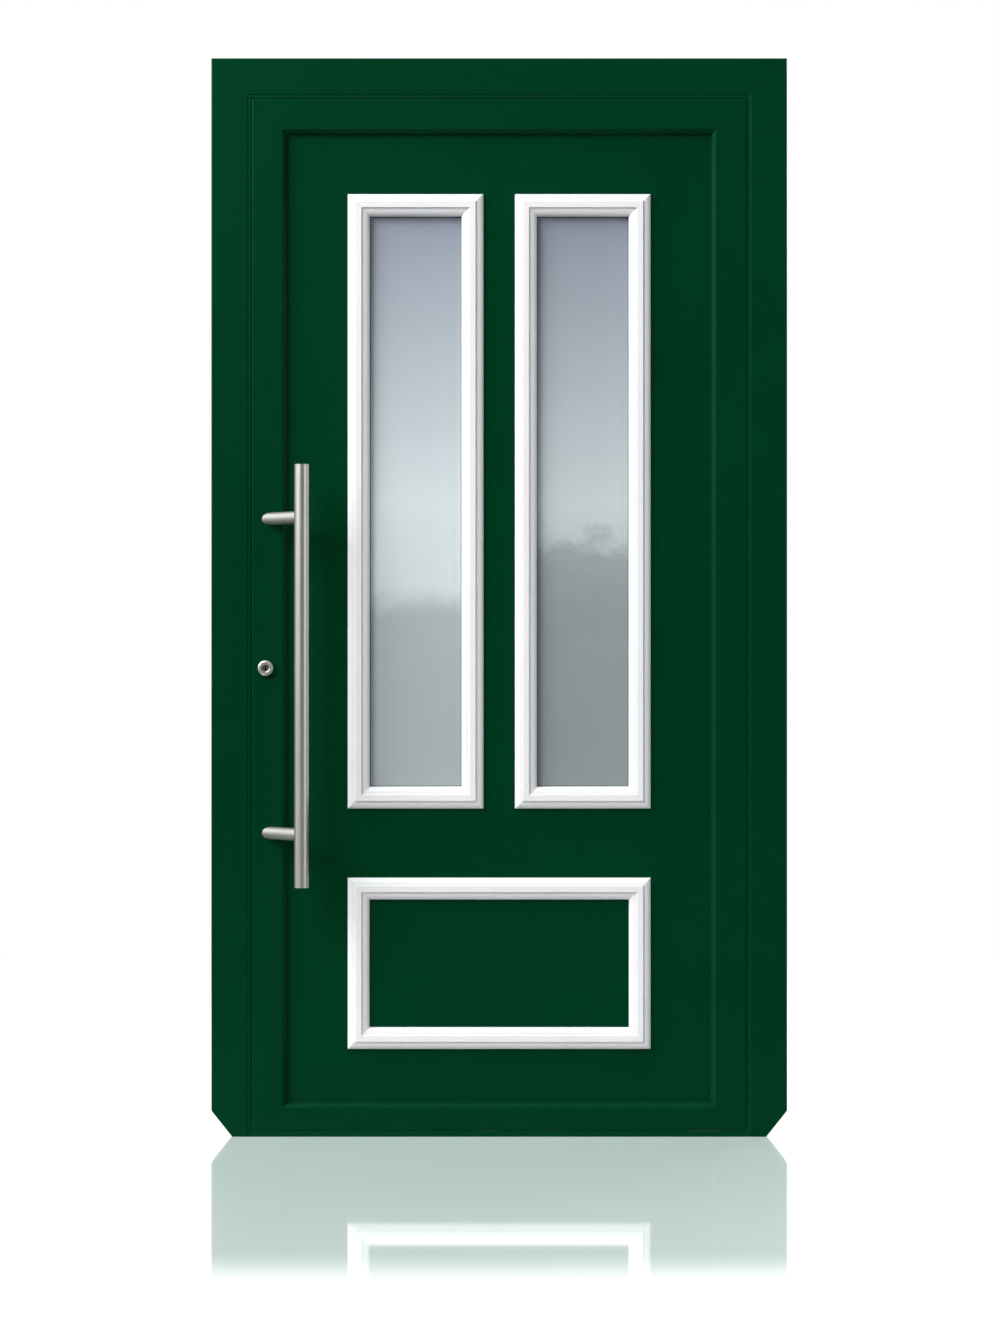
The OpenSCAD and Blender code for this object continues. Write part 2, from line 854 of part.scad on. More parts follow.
module lock_case() {
    half = case_t / 2;
    t = bolt_t / 2 + clear;
    color(steel) difference() {
        lock_box([body_u, bolt_d - half, case_low], [case_u, bolt_d + half, case_high]);
        lock_box([body_u - spare, bolt_d - t, latch_z - latch_h / 2 - clear],
            [body_u + latch_tail + latch_out + tail_room, bolt_d + t, latch_z + latch_h / 2 + clear]);
        lock_box([body_u - spare, bolt_d - t, dead_z - dead_h / 2 - clear],
            [body_u + dead_tail + tail_room, bolt_d + t, dead_z + dead_h / 2 + clear]);
        lock_bar(cyl_u, cyl_z, cam_r + cam_room, bolt_d - t, bolt_d + t);
        euro_bar(bolt_d - half - spare, bolt_d + half + spare, clear);
        lock_bar(cyl_u, lever_z, follower_r + clear / 2, bolt_d - half - spare, bolt_d + half + spare);
    }
}

module end_lock_boxes() {
    half = case_t / 2;
    color(steel) for (z = [low_bolt_z, high_bolt_z]) difference() {
        lock_box([body_u, bolt_d - half, z - box_half], [body_u + box_l, bolt_d + half, z + box_half]);
        translate([ux(plate_u), dy(bolt_d), z]) rotate([0, 90, 0])
            cylinder(r = pin_bolt_d / 2 + clear / 2, h = pin_bolt_l + tail_room);
    }
}

module cylinder_body() {
    color(steel) difference() {
        euro_bar(cyl_out, cyl_in, 0);
        lock_bar(cyl_u, cyl_z, plug_d / 2 + pin_clear, cyl_out - spare, cyl_in + spare);
        lock_box([cyl_u - cam_r, bolt_d - cam_half, cyl_z - cam_r - cam_room],
            [cyl_u + cam_r, bolt_d + cam_half, cyl_z + cam_r]);
    }
}

// Domed ring around the keyhole
module outer_rosette() {
    r = rose_d / 2;
    hole = plug_d / 2 + clear / 2;
    color(steel) translate([ux(cyl_u), dy(0), cyl_z]) rotate([90, 0, 0]) rotate_extrude()
        polygon(concat([[hole, 0], [r, 0], [r, rose_edge]],
            arc([r - rose_r, rose_h - rose_r], rose_r, 0, 90),
            [[hole + rose_lead, rose_h], [hole, rose_h - rose_lead]]));
}

module inner_backplate() {
    r = back_w / 2;
    low = cyl_z - euro_drop - back_under;
    high = lever_z + back_over;
    color(steel) difference() {
        union() {
            lock_bar(cyl_u, low, r, frame_d, frame_d + back_t);
            lock_bar(cyl_u, high, r, frame_d, frame_d + back_t);
            lock_box([cyl_u - r, frame_d, low], [cyl_u + r, frame_d + back_t, high]);
        }
        euro_bar(frame_d - spare, frame_d + back_t + spare, clear);
        lock_bar(cyl_u, lever_z, lever_d / 2 + clear, frame_d - spare, frame_d + back_t + spare);
    }
}

// Latch with a slanted nose, so that the closing leaf pushes it in
module latch() {
    nose = plate_u - latch_out;
    tail = body_u + latch_tail;
    half = bolt_t / 2;
    color(steel) translate([0, 0, latch_z - latch_h / 2]) linear_extrude(latch_h)
        polygon([[ux(tail), dy(bolt_d - half)], [ux(plate_u), dy(bolt_d - half)],
            [ux(nose), dy(bolt_d - half + nose_step)], [ux(nose), dy(bolt_d - half + 2 * nose_step)],
            [ux(plate_u), dy(bolt_d + half)], [ux(tail), dy(bolt_d + half)]]);
}

module deadbolt() {
    half = bolt_t / 2;
    color(steel) lock_box([plate_u + clear, bolt_d - half, dead_z - dead_h / 2],
        [body_u + dead_tail, bolt_d + half, dead_z + dead_h / 2]);
}

module end_bolts() {
    color(steel) for (z = [low_bolt_z, high_bolt_z])
        translate([ux(plate_u + clear), dy(bolt_d), z]) rotate([0, 90, 0])
            cylinder(r = pin_bolt_d / 2, h = pin_bolt_l);
}

module key_plugs() {
    r = plug_d / 2;
    front = plug_set - rose_h;
    color([0.25, 0.25, 0.25]) difference() {
        union() {
            lock_bar(cyl_u, cyl_z, r, front, bolt_d - cam_half);
            lock_bar(cyl_u, cyl_z, r, bolt_d + cam_half, cyl_in);
        }
        for (d = [front - spare, cyl_in - key_deep])
            lock_box([cyl_u - key_w / 2, d, cyl_z - r + key_low],
                [cyl_u + key_w / 2, d + key_deep + spare, cyl_z + r - key_high]);
    }
}

module cylinder_cam() {
    color(steel) translate([ux(cyl_u), dy(bolt_d + cam_w / 2), cyl_z]) rotate([90, 0, 0])
        linear_extrude(cam_w) {
            circle(r = euro_r - cam_inset);
            intersection() {
                circle(r = cam_r);
                translate([-cam_tip_w / 2, -cam_r - spare]) square([cam_tip_w, cam_r + spare]);
            }
        }
}

// Flat rod behind the faceplate that drives the end bolts
module drive_rod() {
    d1 = bolt_d - case_t / 2 - rod_gap;
    u0 = body_u + wall + clear;
    color(steel) lock_box([u0, d1 - rod_w, low_bolt_z - rod_low], [u0 + rod_t, d1, high_bolt_z + rod_high]);
}

// Pull bar on two slanted posts
module pull_tube(r, l) {
    translate([bar_x, dy(-bar_off), bar_z - l / 2]) cylinder(r = r, h = l);
}

module pull_bar() {
    color(steel) difference() {
        pull_tube(bar_d / 2, bar_l);
        pull_tube(bar_d / 2 - bar_wall, bar_l + 2 * spare);
    }
}

module pull_bar_caps() {
    r = bar_d / 2 - bar_wall - clear / 3;
    color(steel) for (s = [-1, 1])
        translate([bar_x, dy(-bar_off), bar_z + s * (bar_l - cap_l) / 2])
            cylinder(r = r, h = cap_l, center = true);
}

module pull_post(z) {
    long = bar_off * sqrt(2);
    color(steel) difference() {
        translate([ux(foot_u), dy(0), z]) rotate([90, 0, 45])
            translate([0, 0, -post_d]) cylinder(d = post_d, h = long + post_d);
        pull_tube(bar_d / 2 + pin_clear, bar_l);
        translate([ux(foot_u) - 2 * post_d, dy(0), z - post_d]) cube([4 * post_d, 2 * post_d, 2 * post_d]);
        lock_bar(foot_u, z, pull_bolt_d / 2 + clear / 2, -bolt_hole_l, spare);
    }
}

module pull_post_upper() {
    pull_post(bar_z + post_pitch / 2);
}

module pull_post_lower() {
    pull_post(bar_z - post_pitch / 2);
}

module pull_bolts() {
    color(steel) for (s = [-1, 1]) {
        lock_bar(foot_u, bar_z + s * post_pitch / 2, pull_bolt_d / 2, -bolt_in, wall + spare);
        lock_bar(foot_u, bar_z + s * post_pitch / 2, pull_bolt_d, wall, wall + bolt_head);
    }
}

// Lever: a round bar bent once, with a square socket
module lever_handle() {
    bend = lever_bend;
    start = frame_d + clear;
    grip_d = frame_d + lever_off;
    r = lever_d / 2;
    sock = spindle_w + clear;
    color(steel) difference() {
        union() {
            lock_bar(cyl_u, lever_z, r, start, grip_d - bend);
            translate([ux(cyl_u + bend), dy(grip_d - bend), lever_z]) rotate([0, 0, 90])
                rotate_extrude(angle = 90) translate([bend, 0]) circle(r = r);
            translate([ux(cyl_u + bend), dy(grip_d), lever_z]) rotate([0, 90, 0])
                cylinder(r = r, h = lever_l - bend - r);
            translate([ux(cyl_u + lever_l - r), dy(grip_d), lever_z]) sphere(r = r);
        }
        lock_box([cyl_u - sock / 2, start - spare, lever_z - sock / 2],
            [cyl_u + sock / 2, start + socket_l, lever_z + sock / 2]);
    }
}

// Square spindle with the round follower that turns in the lock case
module lever_spindle() {
    half = case_t / 2;
    w = spindle_w / 2;
    color(steel) {
        lock_box([cyl_u - w, bolt_d - half - spindle_over, lever_z - w],
            [cyl_u + w, frame_d + spindle_in, lever_z + w]);
        lock_bar(cyl_u, lever_z, follower_r, bolt_d - half, bolt_d + half);
    }
}

// Barrel hinges on the room side of the hinge stile, drawn on the lock side and mirrored
module hinge_barrel(z0, z1) {
    translate([ux(axis_u), dy(axis_d), z0]) cylinder(d = barrel_d, h = z1 - z0);
}

module hinge_bore(z0, z1, r) {
    translate([ux(axis_u), dy(axis_d), z0]) cylinder(r = r, h = z1 - z0);
}

module hinge_frame_part(z) {
    z0 = z - hinge_l / 2;
    z1 = z + hinge_l / 2;
    k0 = z0 + knuckle - knuckle_gap;
    k1 = z1 - knuckle + knuckle_gap;
    color(steel) mirror([1, 0, 0]) difference() {
        union() {
            lock_box([hinge_edge, frame_d, z0], [frame_body - hinge_back, frame_d + hinge_t, z1]);
            for (k = [[z0, k0], [k1, z1]]) {
                hinge_barrel(k[0], k[1]);
                lock_box([axis_u - barrel_d / 2 - barrel_web, frame_d, k[0]],
                    [axis_u - web_in, axis_d, k[1]]);
            }
        }
        hinge_bore(z0 - spare, z1 + spare, pin_d / 2 + pin_clear / 2);
        hinge_bore(k0, k1, barrel_d / 2 + knuckle_room);
    }
}

module hinge_leaf_part(z) {
    k0 = z - knuckle / 2;
    k1 = z + knuckle / 2;
    inner = axis_u + barrel_d / 2 + barrel_web;
    color(steel) mirror([1, 0, 0]) difference() {
        union() {
            lock_box([inner, frame_d, z - hinge_l / 2],
                [inner + hinge_w, frame_d + hinge_t, z + hinge_l / 2]);
            hinge_barrel(k0, k1);
            lock_box([axis_u + web_in, frame_d, k0], [inner + web_in, axis_d, k1]);
        }
        hinge_bore(k0 - spare, k1 + spare, pin_d / 2 + pin_clear);
    }
}

module hinge_pins() {
    color(steel) mirror([1, 0, 0]) for (z = [hinge_low, hinge_mid, frame_h - hinge_drop]) {
        hinge_bore(z - hinge_l / 2, z + hinge_l / 2, pin_d / 2);
        for (s = [-1, 1]) translate([ux(axis_u), dy(axis_d), z + s * (hinge_l + pin_cap_h) / 2])
            cylinder(d = barrel_d - pin_cap_in, h = pin_cap_h, center = true);
    }
}

module hinge_frame_top() {
    hinge_frame_part(frame_h - hinge_drop);
}

module hinge_frame_middle() {
    hinge_frame_part(hinge_mid);
}

module hinge_frame_bottom() {
    hinge_frame_part(hinge_low);
}

module hinge_leaf_top() {
    hinge_leaf_part(frame_h - hinge_drop);
}

module hinge_leaf_middle() {
    hinge_leaf_part(hinge_mid);
}

module hinge_leaf_bottom() {
    hinge_leaf_part(hinge_low);
}

frame_head();
lock_jamb();
hinge_jamb();
jamb_foot_plugs();
frame_corner_cleats();
threshold();
stop_gasket();
main_strike();
end_strikes();
hinge_frame_top();
hinge_frame_middle();
hinge_frame_bottom();
hinge_pins();
sash_top_rail();
sash_bottom_rail();
sash_lock_stile();
sash_hinge_stile();
sash_corner_cleats();
outer_glazing_gasket();
inner_glazing_gasket();
bottom_seal();
panel_outer_skin();
panel_core();
panel_inner_skin();
setting_blocks();
side_beads();
top_bead();
bottom_bead();
left_outer_moulding();
right_outer_moulding();
lower_outer_moulding();
left_inner_moulding();
right_inner_moulding();
lower_inner_moulding();
outer_panes();
inner_panes();
glass_spacers();
lock_faceplate();
lock_case();
end_lock_boxes();
cylinder_body();
outer_rosette();
inner_backplate();
pull_bar();
pull_bar_caps();
pull_post_upper();
pull_post_lower();
pull_bolts();
hinge_leaf_top();
hinge_leaf_middle();
hinge_leaf_bottom();
lever_handle();
lever_spindle();
latch();
deadbolt();
end_bolts();
key_plugs();
cylinder_cam();
drive_rod();
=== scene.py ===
"""Looks of the panelled front door: finishes, seals, screws, floor, light and camera."""

import math

import bmesh
import bpy
import numpy as np
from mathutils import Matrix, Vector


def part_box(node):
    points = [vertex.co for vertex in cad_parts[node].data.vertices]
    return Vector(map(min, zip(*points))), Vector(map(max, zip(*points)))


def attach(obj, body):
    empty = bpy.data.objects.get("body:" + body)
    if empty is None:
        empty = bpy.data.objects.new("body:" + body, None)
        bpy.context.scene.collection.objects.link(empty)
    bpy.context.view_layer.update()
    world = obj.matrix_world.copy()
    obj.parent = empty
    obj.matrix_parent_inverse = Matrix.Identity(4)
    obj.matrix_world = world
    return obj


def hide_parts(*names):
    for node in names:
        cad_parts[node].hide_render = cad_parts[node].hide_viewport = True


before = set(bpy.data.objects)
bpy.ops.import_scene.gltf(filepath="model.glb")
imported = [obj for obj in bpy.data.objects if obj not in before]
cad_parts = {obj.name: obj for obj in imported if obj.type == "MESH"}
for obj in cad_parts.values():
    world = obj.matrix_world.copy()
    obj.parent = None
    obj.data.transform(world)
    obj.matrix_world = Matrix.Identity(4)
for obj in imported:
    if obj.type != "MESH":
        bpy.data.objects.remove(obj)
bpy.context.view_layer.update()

bl_info = {
    "name": "Panelled front door",
    "version": (1, 0, 0),
    "blender": (4, 5, 0),
    "location": "3D View > Sidebar > Door",
    "description": "Finishes, seals, screws and stage of a panelled front door",
    "category": "Object",
}


def middle(node):
    """Middle of a node's box."""
    low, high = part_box(node)
    return (low + high) / 2


MM = 0.001

# Places that several pieces share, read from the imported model
HALF_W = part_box("frame_head")[1].x
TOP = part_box("frame_head")[1].z
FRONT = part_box("lock_jamb")[0].y
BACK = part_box("hinge_jamb")[1].y
OPENING_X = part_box("hinge_jamb")[0].x
OPENING_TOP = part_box("frame_head")[0].z
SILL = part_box("threshold")[1].z
PANEL_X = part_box("sash_hinge_stile")[0].x
PANEL_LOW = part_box("sash_bottom_rail")[1].z
PANEL_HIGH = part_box("sash_top_rail")[0].z
PANEL_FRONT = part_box("panel_outer_skin")[0].y
PANEL_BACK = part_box("panel_inner_skin")[1].y
LOCK_Y = middle("deadbolt").y
CYL_X = middle("key_plugs").x
CYL_Z = middle("key_plugs").z

# Sizes of the model that no box gives: the moulding frames' width, the middle of the posts' feet, the hinge
# plates' thickness, the rows and insets of the screws, an end strike's length, the tops of the sill's ribs
MOULDING_W = 42.5 * MM
POST_FOOT = -HALF_W + 113.5 * MM
HINGE_PLATE = 4 * MM
HINGE_ROWS = np.array([-42, 0, 42]) * MM
HINGE_INSETS = {"frame": 20 * MM, "leaf": 82 * MM}
FACEPLATE_ROWS = np.array([175, 330, 500, 680, 815, 895, 1085, 1145, 1310, 1480, 1580, 1730]) * MM
STRIKE_INSET = 12 * MM
END_STRIKE = 90 * MM
BACKPLATE_LOW_INSET = 12 * MM
BACKPLATE_HIGH_INSET = 14 * MM
THRESHOLD_ROWS = np.array([-400, -133, 133, 400]) * MM
THRESHOLD_INSET = 14 * MM
RIB_TOPS = (11.2 * MM, 11.9 * MM)

# How far screw heads stand above the face they are in
RAISED = 0.35 * MM
FLUSH = 0.2 * MM
SUNK = 0.1 * MM

# Edges of new pieces that turn by more than this stay crisp
CRISP = math.radians(32)

# Noise scales that several finishes share, in repeats to the metre
PEEL = 620.0
RUBBER_GRAIN = 1500.0
RIPPLE = 7.0

# Tones and gloss that a user has no need to change
COAT_GLOSS = {"Specular IOR Level": 0.16, "Specular Tint": (0.2, 1.0, 0.6, 1.0)}
COAT_SEAM = (0.001, 0.006, 0.003)
DUST = (0.10, 0.11, 0.08)
BARE_METAL = (0.36, 0.37, 0.36)
MOULDING_SEAM = (0.39, 0.4, 0.4)
# painted shade in the cylinder's keyway
KEYWAY_SHADE = (0.01, 0.01, 0.009)
CLEAR_FACE = (0.62, 0.72, 0.70)
CLEAR_EDGE = (0.2, 0.42, 0.34)
WHITE = (1.0, 1.0, 1.0)
BLACK = (0.0, 0.0, 0.0)
DIM = (0.03, 0.03, 0.03)

# Floor: rings and sectors of its mesh, its level, where its polished patch fades out and where it turns to
# plain white, the green painted into the patch as a painted reflection of the door, its tones in the
# picture and, as other surfaces meet it, its colour and glow
RINGS = 12
SECTORS = 96
FLOOR_Z = -0.5 * MM
PATCH_AHEAD = (1.2, 1.58)
PATCH_ASIDE = (0.6, 1.3)
PATCH_BEHIND = (0.0, 0.06)
FLOOR_FADE = (1.2, 4.0)
PATCH_PAINTED_GREEN_REFLECTION = (1.0, 1.3, 1.235)
FLOOR_TONES = ((0.9, 0.9, 0.9), (0.93, 0.93, 0.93))
FLOOR_BOUNCE = (0.3, 0.3, 0.3)
BOUNCE_GLOW = (0.12, 0.12, 0.12)

# Lights: where each stands, and its width and height; then the point they aim at, and the camera
RIG = {
    "key": ((-3.9, -2.9, 4.9), (4.4, 4.4)),
    "left_strip": ((-3.0, -0.35, 1.1), (0.3, 2.6)),
    "right_box": ((2.4, -1.7, 1.3), (0.7, 2.4)),
    "room_box": ((2.6, 4.2, 3.6), (2.6, 2.6)),
}
AIM = np.array([0.0, 0.0, 1.05])
CAMERA_X = 1.5 * MM
CAMERA_REACH = 200.0
SENSOR = 36.0

HINGES = ("top", "middle", "bottom")
POSTS = ("pull_post_upper", "pull_post_lower")
MOULDINGS = ("left_outer_moulding", "right_outer_moulding", "lower_outer_moulding",
             "left_inner_moulding", "right_inner_moulding", "lower_inner_moulding")
PROFILES = ("frame_head", "lock_jamb", "hinge_jamb", "sash_top_rail", "sash_bottom_rail",
            "sash_lock_stile", "sash_hinge_stile")
SKINS = ("panel_outer_skin", "panel_inner_skin", "side_beads", "top_bead", "bottom_bead")
BARS = ("pull_bar", "pull_bar_caps", "inner_backplate", "lock_faceplate", "main_strike", "end_strikes")


def colour(label, text, value):
    """A colour that a user may change."""
    return bpy.props.FloatVectorProperty(name=label, description=text, default=value, subtype="COLOR",
                                         size=3, min=0.0, max=1.0)


def length(label, text, value):
    """A length in metres that a user may change."""
    return bpy.props.FloatProperty(name=label, description=text, default=value, unit="LENGTH",
                                   min=0.0, precision=4)


def amount(label, text, value, high=1.0):
    """A plain number that a user may change."""
    return bpy.props.FloatProperty(name=label, description=text, default=value, min=0.0, max=high)


class DoorFinishes(bpy.types.PropertyGroup):
    """Colours and gloss of the door's materials."""

    green: colour("Green coat", "Powder coat on frame, leaf and hinges", (0.0001, 0.0345, 0.0115))
    green_deep: colour("Deep green", "Darker patches of the coat", (0.0001, 0.0315, 0.0105))
    coat_rough: amount("Coat roughness", "How satin the powder coat is", 0.33)
    white: colour("Moulding white", "Satin white of the moulding frames", (0.775, 0.785, 0.8))
    steel: colour("Stainless", "Brushed stainless steel of the handles", (0.60, 0.59, 0.57))
    zinc: colour("Zinc", "Zinc plate of the lock's parts", (0.52, 0.53, 0.54))
    nickel: colour("Nickel", "Nickel plate of the cylinder", (0.5, 0.48, 0.43))
    aluminium: colour("Raw aluminium", "Mill finish of cleats and spacers", (0.72, 0.73, 0.74))
    rubber: colour("Rubber", "Black seals", (0.012, 0.012, 0.012))
    green_rubber: colour("Green rubber", "Outer seals in the tone of the coat", (0.0001, 0.0345, 0.0115))
    plastic: colour("Plastic", "Black plugs and blocks", (0.02, 0.02, 0.02))
    foam: colour("Core", "Insulating core of the panel", (0.75, 0.66, 0.44))
    # The three glass colours are the painted reflection on the satin glass: the painted sky near its top,
    # the palest painted horizon a little below the middle and the painted ground near its foot.
    painted_reflection_high: colour("Glass above", "Satin glass near its top", (0.275, 0.307, 0.378))
    painted_reflection_mid: colour("Glass middle", "Satin glass at its palest height", (0.63, 0.712, 0.728))
    painted_reflection_low: colour("Glass below", "Satin glass near its foot", (0.382, 0.432, 0.442))
    glass_cover: amount("Glass cover", "How much the satin glass hides", 0.93)


class DoorDetails(bpy.types.PropertyGroup):
    """Sizes of the small pieces that the scene adds."""

    lip: length("Glazing lip", "Rubber seen between panel and profile", 3.0 * MM)
    seal: length("Glass seal", "Width of the seal on the glass", 1.1 * MM)
    hinge_screw: length("Hinge screw", "Radius of the hinge screws' heads", 4.6 * MM)
    plate_screw: length("Plate screw", "Radius of the lock screws' heads", 3.6 * MM)
    washer: length("Post washer", "Thickness of the washers under the pull posts", 0.8 * MM)
    grub_screw: length("Grub screw", "Radius of the screws in the pull posts", 2.8 * MM)
    joint_set: length("Joint seal depth", "How far the green joint seal lies behind the face", 0.9 * MM)
    drip: length("Drip lip", "Thickness of the lip under the leaf's face", 2.0 * MM)


class DoorStage(bpy.types.PropertyGroup):
    """Floor, light and camera."""

    distance: length("Camera distance", "From the door's face to the camera", 6.0)
    eye: length("Camera height", "Height of the camera above the floor", 0.898)
    span: length("View height", "Height that the picture covers at the door's face", 2.5456)
    floor: length("Floor radius", "Radius of the pale floor", 30.0)
    polish: amount("Floor polish", "How much the floor mirrors the door's foot", 0.53)
    key: amount("Key light", "Power of the light from the upper left, in watts", 670.0, 5000.0)
    fill_left: amount("Left light", "Power of the strip light on the left, in watts", 5.0, 5000.0)
    fill_right: amount("Right light", "Power of the softbox on the right, in watts", 18.0, 5000.0)
    fill_room: amount("Room light", "Power of the softbox on the room side, in watts", 260.0, 5000.0)
    ambient: amount("Ambient", "Strength of the light from all round", 0.44, 10.0)


# Shader expressions

class Wire:
    """A shader socket that takes part in Python expressions: each operator adds one Math node."""

    def __init__(self, tree, socket):
        self.tree = tree
        self.socket = socket

    def node(self, kind, settings, sockets, out=0):
        """Adds a node of that kind, sets its settings, then fills or links its sockets."""
        made = self.tree.nodes.new(kind)
        for name, value in settings.items():
            if name == "stops":
                ramp = made.color_ramp
                while len(ramp.elements) < len(value):
                    ramp.elements.new(0.5)
                for element, (spot, shade) in zip(ramp.elements, value):
                    element.position = spot
                    element.color = (*shade, 1.0)
            else:
                setattr(made, name, value)
        for name, value in sockets.items():
            if isinstance(value, Wire):
                self.tree.links.new(value.socket, made.inputs[name])
            else:
                made.inputs[name].default_value = value
        return Wire(self.tree, made.outputs[out])

    def maths(self, operation, *terms):
        """Result of a Math node on these terms."""
        return self.node("ShaderNodeMath", {"operation": operation}, dict(enumerate(terms)))

    def measure(self, operation, *terms):
        """Number that a Vector Math node makes of these vectors."""
        return self.node("ShaderNodeVectorMath", {"operation": operation}, dict(enumerate(terms)), out=1)

    def __add__(self, other):
        return self.maths("ADD", self, other)

    __radd__ = __add__

    def __sub__(self, other):
        return self.maths("SUBTRACT", self, other)

    def __rsub__(self, other):
        return self.maths("SUBTRACT", other, self)

    def __mul__(self, other):
        return self.maths("MULTIPLY", self, other)

    __rmul__ = __mul__

    def __truediv__(self, other):
        return self.maths("DIVIDE", self, other)

    def __rtruediv__(self, other):
        return self.maths("DIVIDE", other, self)

    def __abs__(self):
        return self.maths("ABSOLUTE", self)

    def __lt__(self, other):
        return self.maths("LESS_THAN", self, other)

    def __gt__(self, other):
        return self.maths("GREATER_THAN", self, other)

    def clamp(self):
        """This value, held between 0 and 1."""
        return self.node("ShaderNodeClamp", {}, {"Value": self, "Min": 0.0, "Max": 1.0})

    def ease(self, low, high):
        """Smooth step from 0 at low to 1 at high."""
        return self.node("ShaderNodeMapRange", {"interpolation_type": "SMOOTHSTEP"},
                         {"Value": self, "From Min": low, "From Max": high})

    def tint(self, first, second):
        """Colour between first, where this value is 0, and second, where it is 1."""
        sockets = {0: self}
        for index, shade in ((6, first), (7, second)):
            sockets[index] = shade if isinstance(shade, Wire) else (*shade, 1.0)
        return self.node("ShaderNodeMix", {"data_type": "RGBA"}, sockets, out=2)

    def noise(self, scale, detail=2.0, rough=0.5):
        """Noise over this vector, from 0 to 1."""
        return self.node("ShaderNodeTexNoise", {"noise_dimensions": "3D"},
                         {"Vector": self, "Scale": scale, "Detail": detail, "Roughness": rough})

    def stretched(self, scale):
        """This vector, scaled along each axis."""
        return self.node("ShaderNodeMapping", {"vector_type": "POINT"}, {"Vector": self, "Scale": scale})

    def bump(self, depth, strength):
        """Normal of a surface that this value raises by depth, in metres."""
        return self.node("ShaderNodeBump", {}, {"Height": self, "Distance": depth, "Strength": strength})


class Finish:
    """One procedural material on Object coordinates."""

    def __init__(self, name):
        self.material = bpy.data.materials.new(name)
        self.material.use_nodes = True
        tree = self.material.node_tree
        tree.nodes.clear()
        self.tree = tree
        self.shader = tree.nodes.new("ShaderNodeBsdfPrincipled")
        self.output = tree.nodes.new("ShaderNodeOutputMaterial")
        tree.links.new(self.shader.outputs[0], self.output.inputs["Surface"])
        coord = tree.nodes.new("ShaderNodeTexCoord")
        self.at = Wire(tree, coord.outputs["Object"])
        split = tree.nodes.new("ShaderNodeSeparateXYZ")
        tree.links.new(coord.outputs["Object"], split.inputs[0])
        self.x, self.y, self.z = (Wire(tree, s) for s in split.outputs)

    def shade(self, varied, fixed):
        """Links what varies over the surface, sets what doesn't, and returns the material."""
        for name, value in varied.items():
            self.tree.links.new(value.socket, self.shader.inputs[name])
        for name, value in fixed.items():
            self.shader.inputs[name].default_value = value
        return self.material


def camera_ray(tree):
    """1 on rays that come straight from the camera and 0 on all others; for the stage alone."""
    return Wire(tree, tree.nodes.new("ShaderNodeLightPath").outputs["Is Camera Ray"])


def scaled(shade, share):
    """A lighter or darker shade of a colour."""
    return [min(1.0, c * share) for c in shade]


def hairline(gap, width):
    """A thin line, 1 where gap is 0 and 0 where it is wider than width."""
    return 1.0 - (abs(gap) / width).clamp()


def green_coat(name, look, mitres):
    """Satin powder coat: fine orange peel, slow patches of tone, dust near the floor and, on mitred
    profiles, a hairline along each mitre. u is the distance in from the frame's side. A top mitre lies
    where u equals the distance down from the frame's top, and a bottom one where u falls short of the
    panel's side by as much as the point lies below the panel."""
    f = Finish(name)
    patch = f.at.noise(5.0, 4.0, 0.6)
    peel = f.at.noise(PEEL)
    grain = f.at.noise(60.0, 3.0)
    dusty = 120 * MM
    dust = (1.0 - f.z.ease(0.0, dusty)) * (f.at.noise(28.0, 5.0, 0.65) - 0.42).clamp()
    base = patch.ease(0.3, 0.7).tint(look.green_deep, look.green)
    base = (dust * 0.04).tint(base, DUST)
    height = peel
    if mitres:
        line = 0.45 * MM
        zone = 160 * MM
        u = HALF_W - abs(f.x)
        upper = hairline(TOP - f.z - u, line) * (f.z > TOP - zone)
        lower = hairline(f.z + (HALF_W - PANEL_X - PANEL_LOW) - u, line) * (f.z < PANEL_LOW)
        seam = (upper + lower).clamp()
        base = (seam * 0.75).tint(base, COAT_SEAM)
        height = peel - seam * 3.0
    rough = look.coat_rough - 0.05 + grain * 0.1 + dust * 0.35
    return f.shade({"Base Color": base, "Roughness": rough, "Normal": height.bump(0.02 * MM, 0.5)},
                   COAT_GLOSS)


def trodden_coat(look):
    """Green coat of the threshold, rubbed to metal along the tops of its ribs."""
    f = Finish("trodden_green_coat")
    scratch = f.at.stretched((18.0, 420.0, 1.0)).noise(1.0, 4.0, 0.7)
    trodden = f.at.noise(4.0, 3.0).ease(0.4, 0.65)
    worn = (scratch - 0.5).clamp() * 2.2 * f.z.ease(*RIB_TOPS) * trodden
    return f.shade({"Base Color": worn.clamp().tint(look.green, BARE_METAL),
                    "Roughness": 0.4 + scratch * 0.2,
                    "Normal": (f.at.noise(PEEL) - worn).bump(0.03 * MM, 0.5)}, COAT_GLOSS)


def corner_lines(node, x, z):
    """Hairline along the mitres of a moulding frame, where the distances from x and z to its two nearest
    outer edges are equal."""
    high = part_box(node)[1]
    centre = middle(node)
    gap = (high.x - centre.x) - abs(x - centre.x) - ((high.z - centre.z) - abs(z - centre.z))
    return hairline(gap, 0.5 * MM)


def white_moulding(look):
    """Satin white: faint tone, a very fine grain and a hairline where the sides are mitred."""
    f = Finish("satin_white_moulding")
    tone = f.at.noise(9.0, 4.0, 0.6)
    grain = f.at.noise(1400.0, 1.0)
    margin = 20 * MM
    above = f.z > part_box("right_outer_moulding")[0].z - margin
    below = f.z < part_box("lower_outer_moulding")[1].z + margin
    upper = corner_lines("right_outer_moulding", abs(f.x), f.z) * above
    lower = corner_lines("lower_outer_moulding", f.x, f.z) * below
    seam = (upper + lower).clamp()
    base = tone.ease(0.25, 0.75).tint(scaled(look.white, 0.97), look.white)
    base = (seam * 0.35).tint(base, MOULDING_SEAM)
    return f.shade({"Base Color": base, "Roughness": 0.3 + tone * 0.1,
                    "Normal": (grain * 0.3 - seam * 2.0).bump(0.012 * MM, 0.4)},
                   {"Specular IOR Level": 0.4})


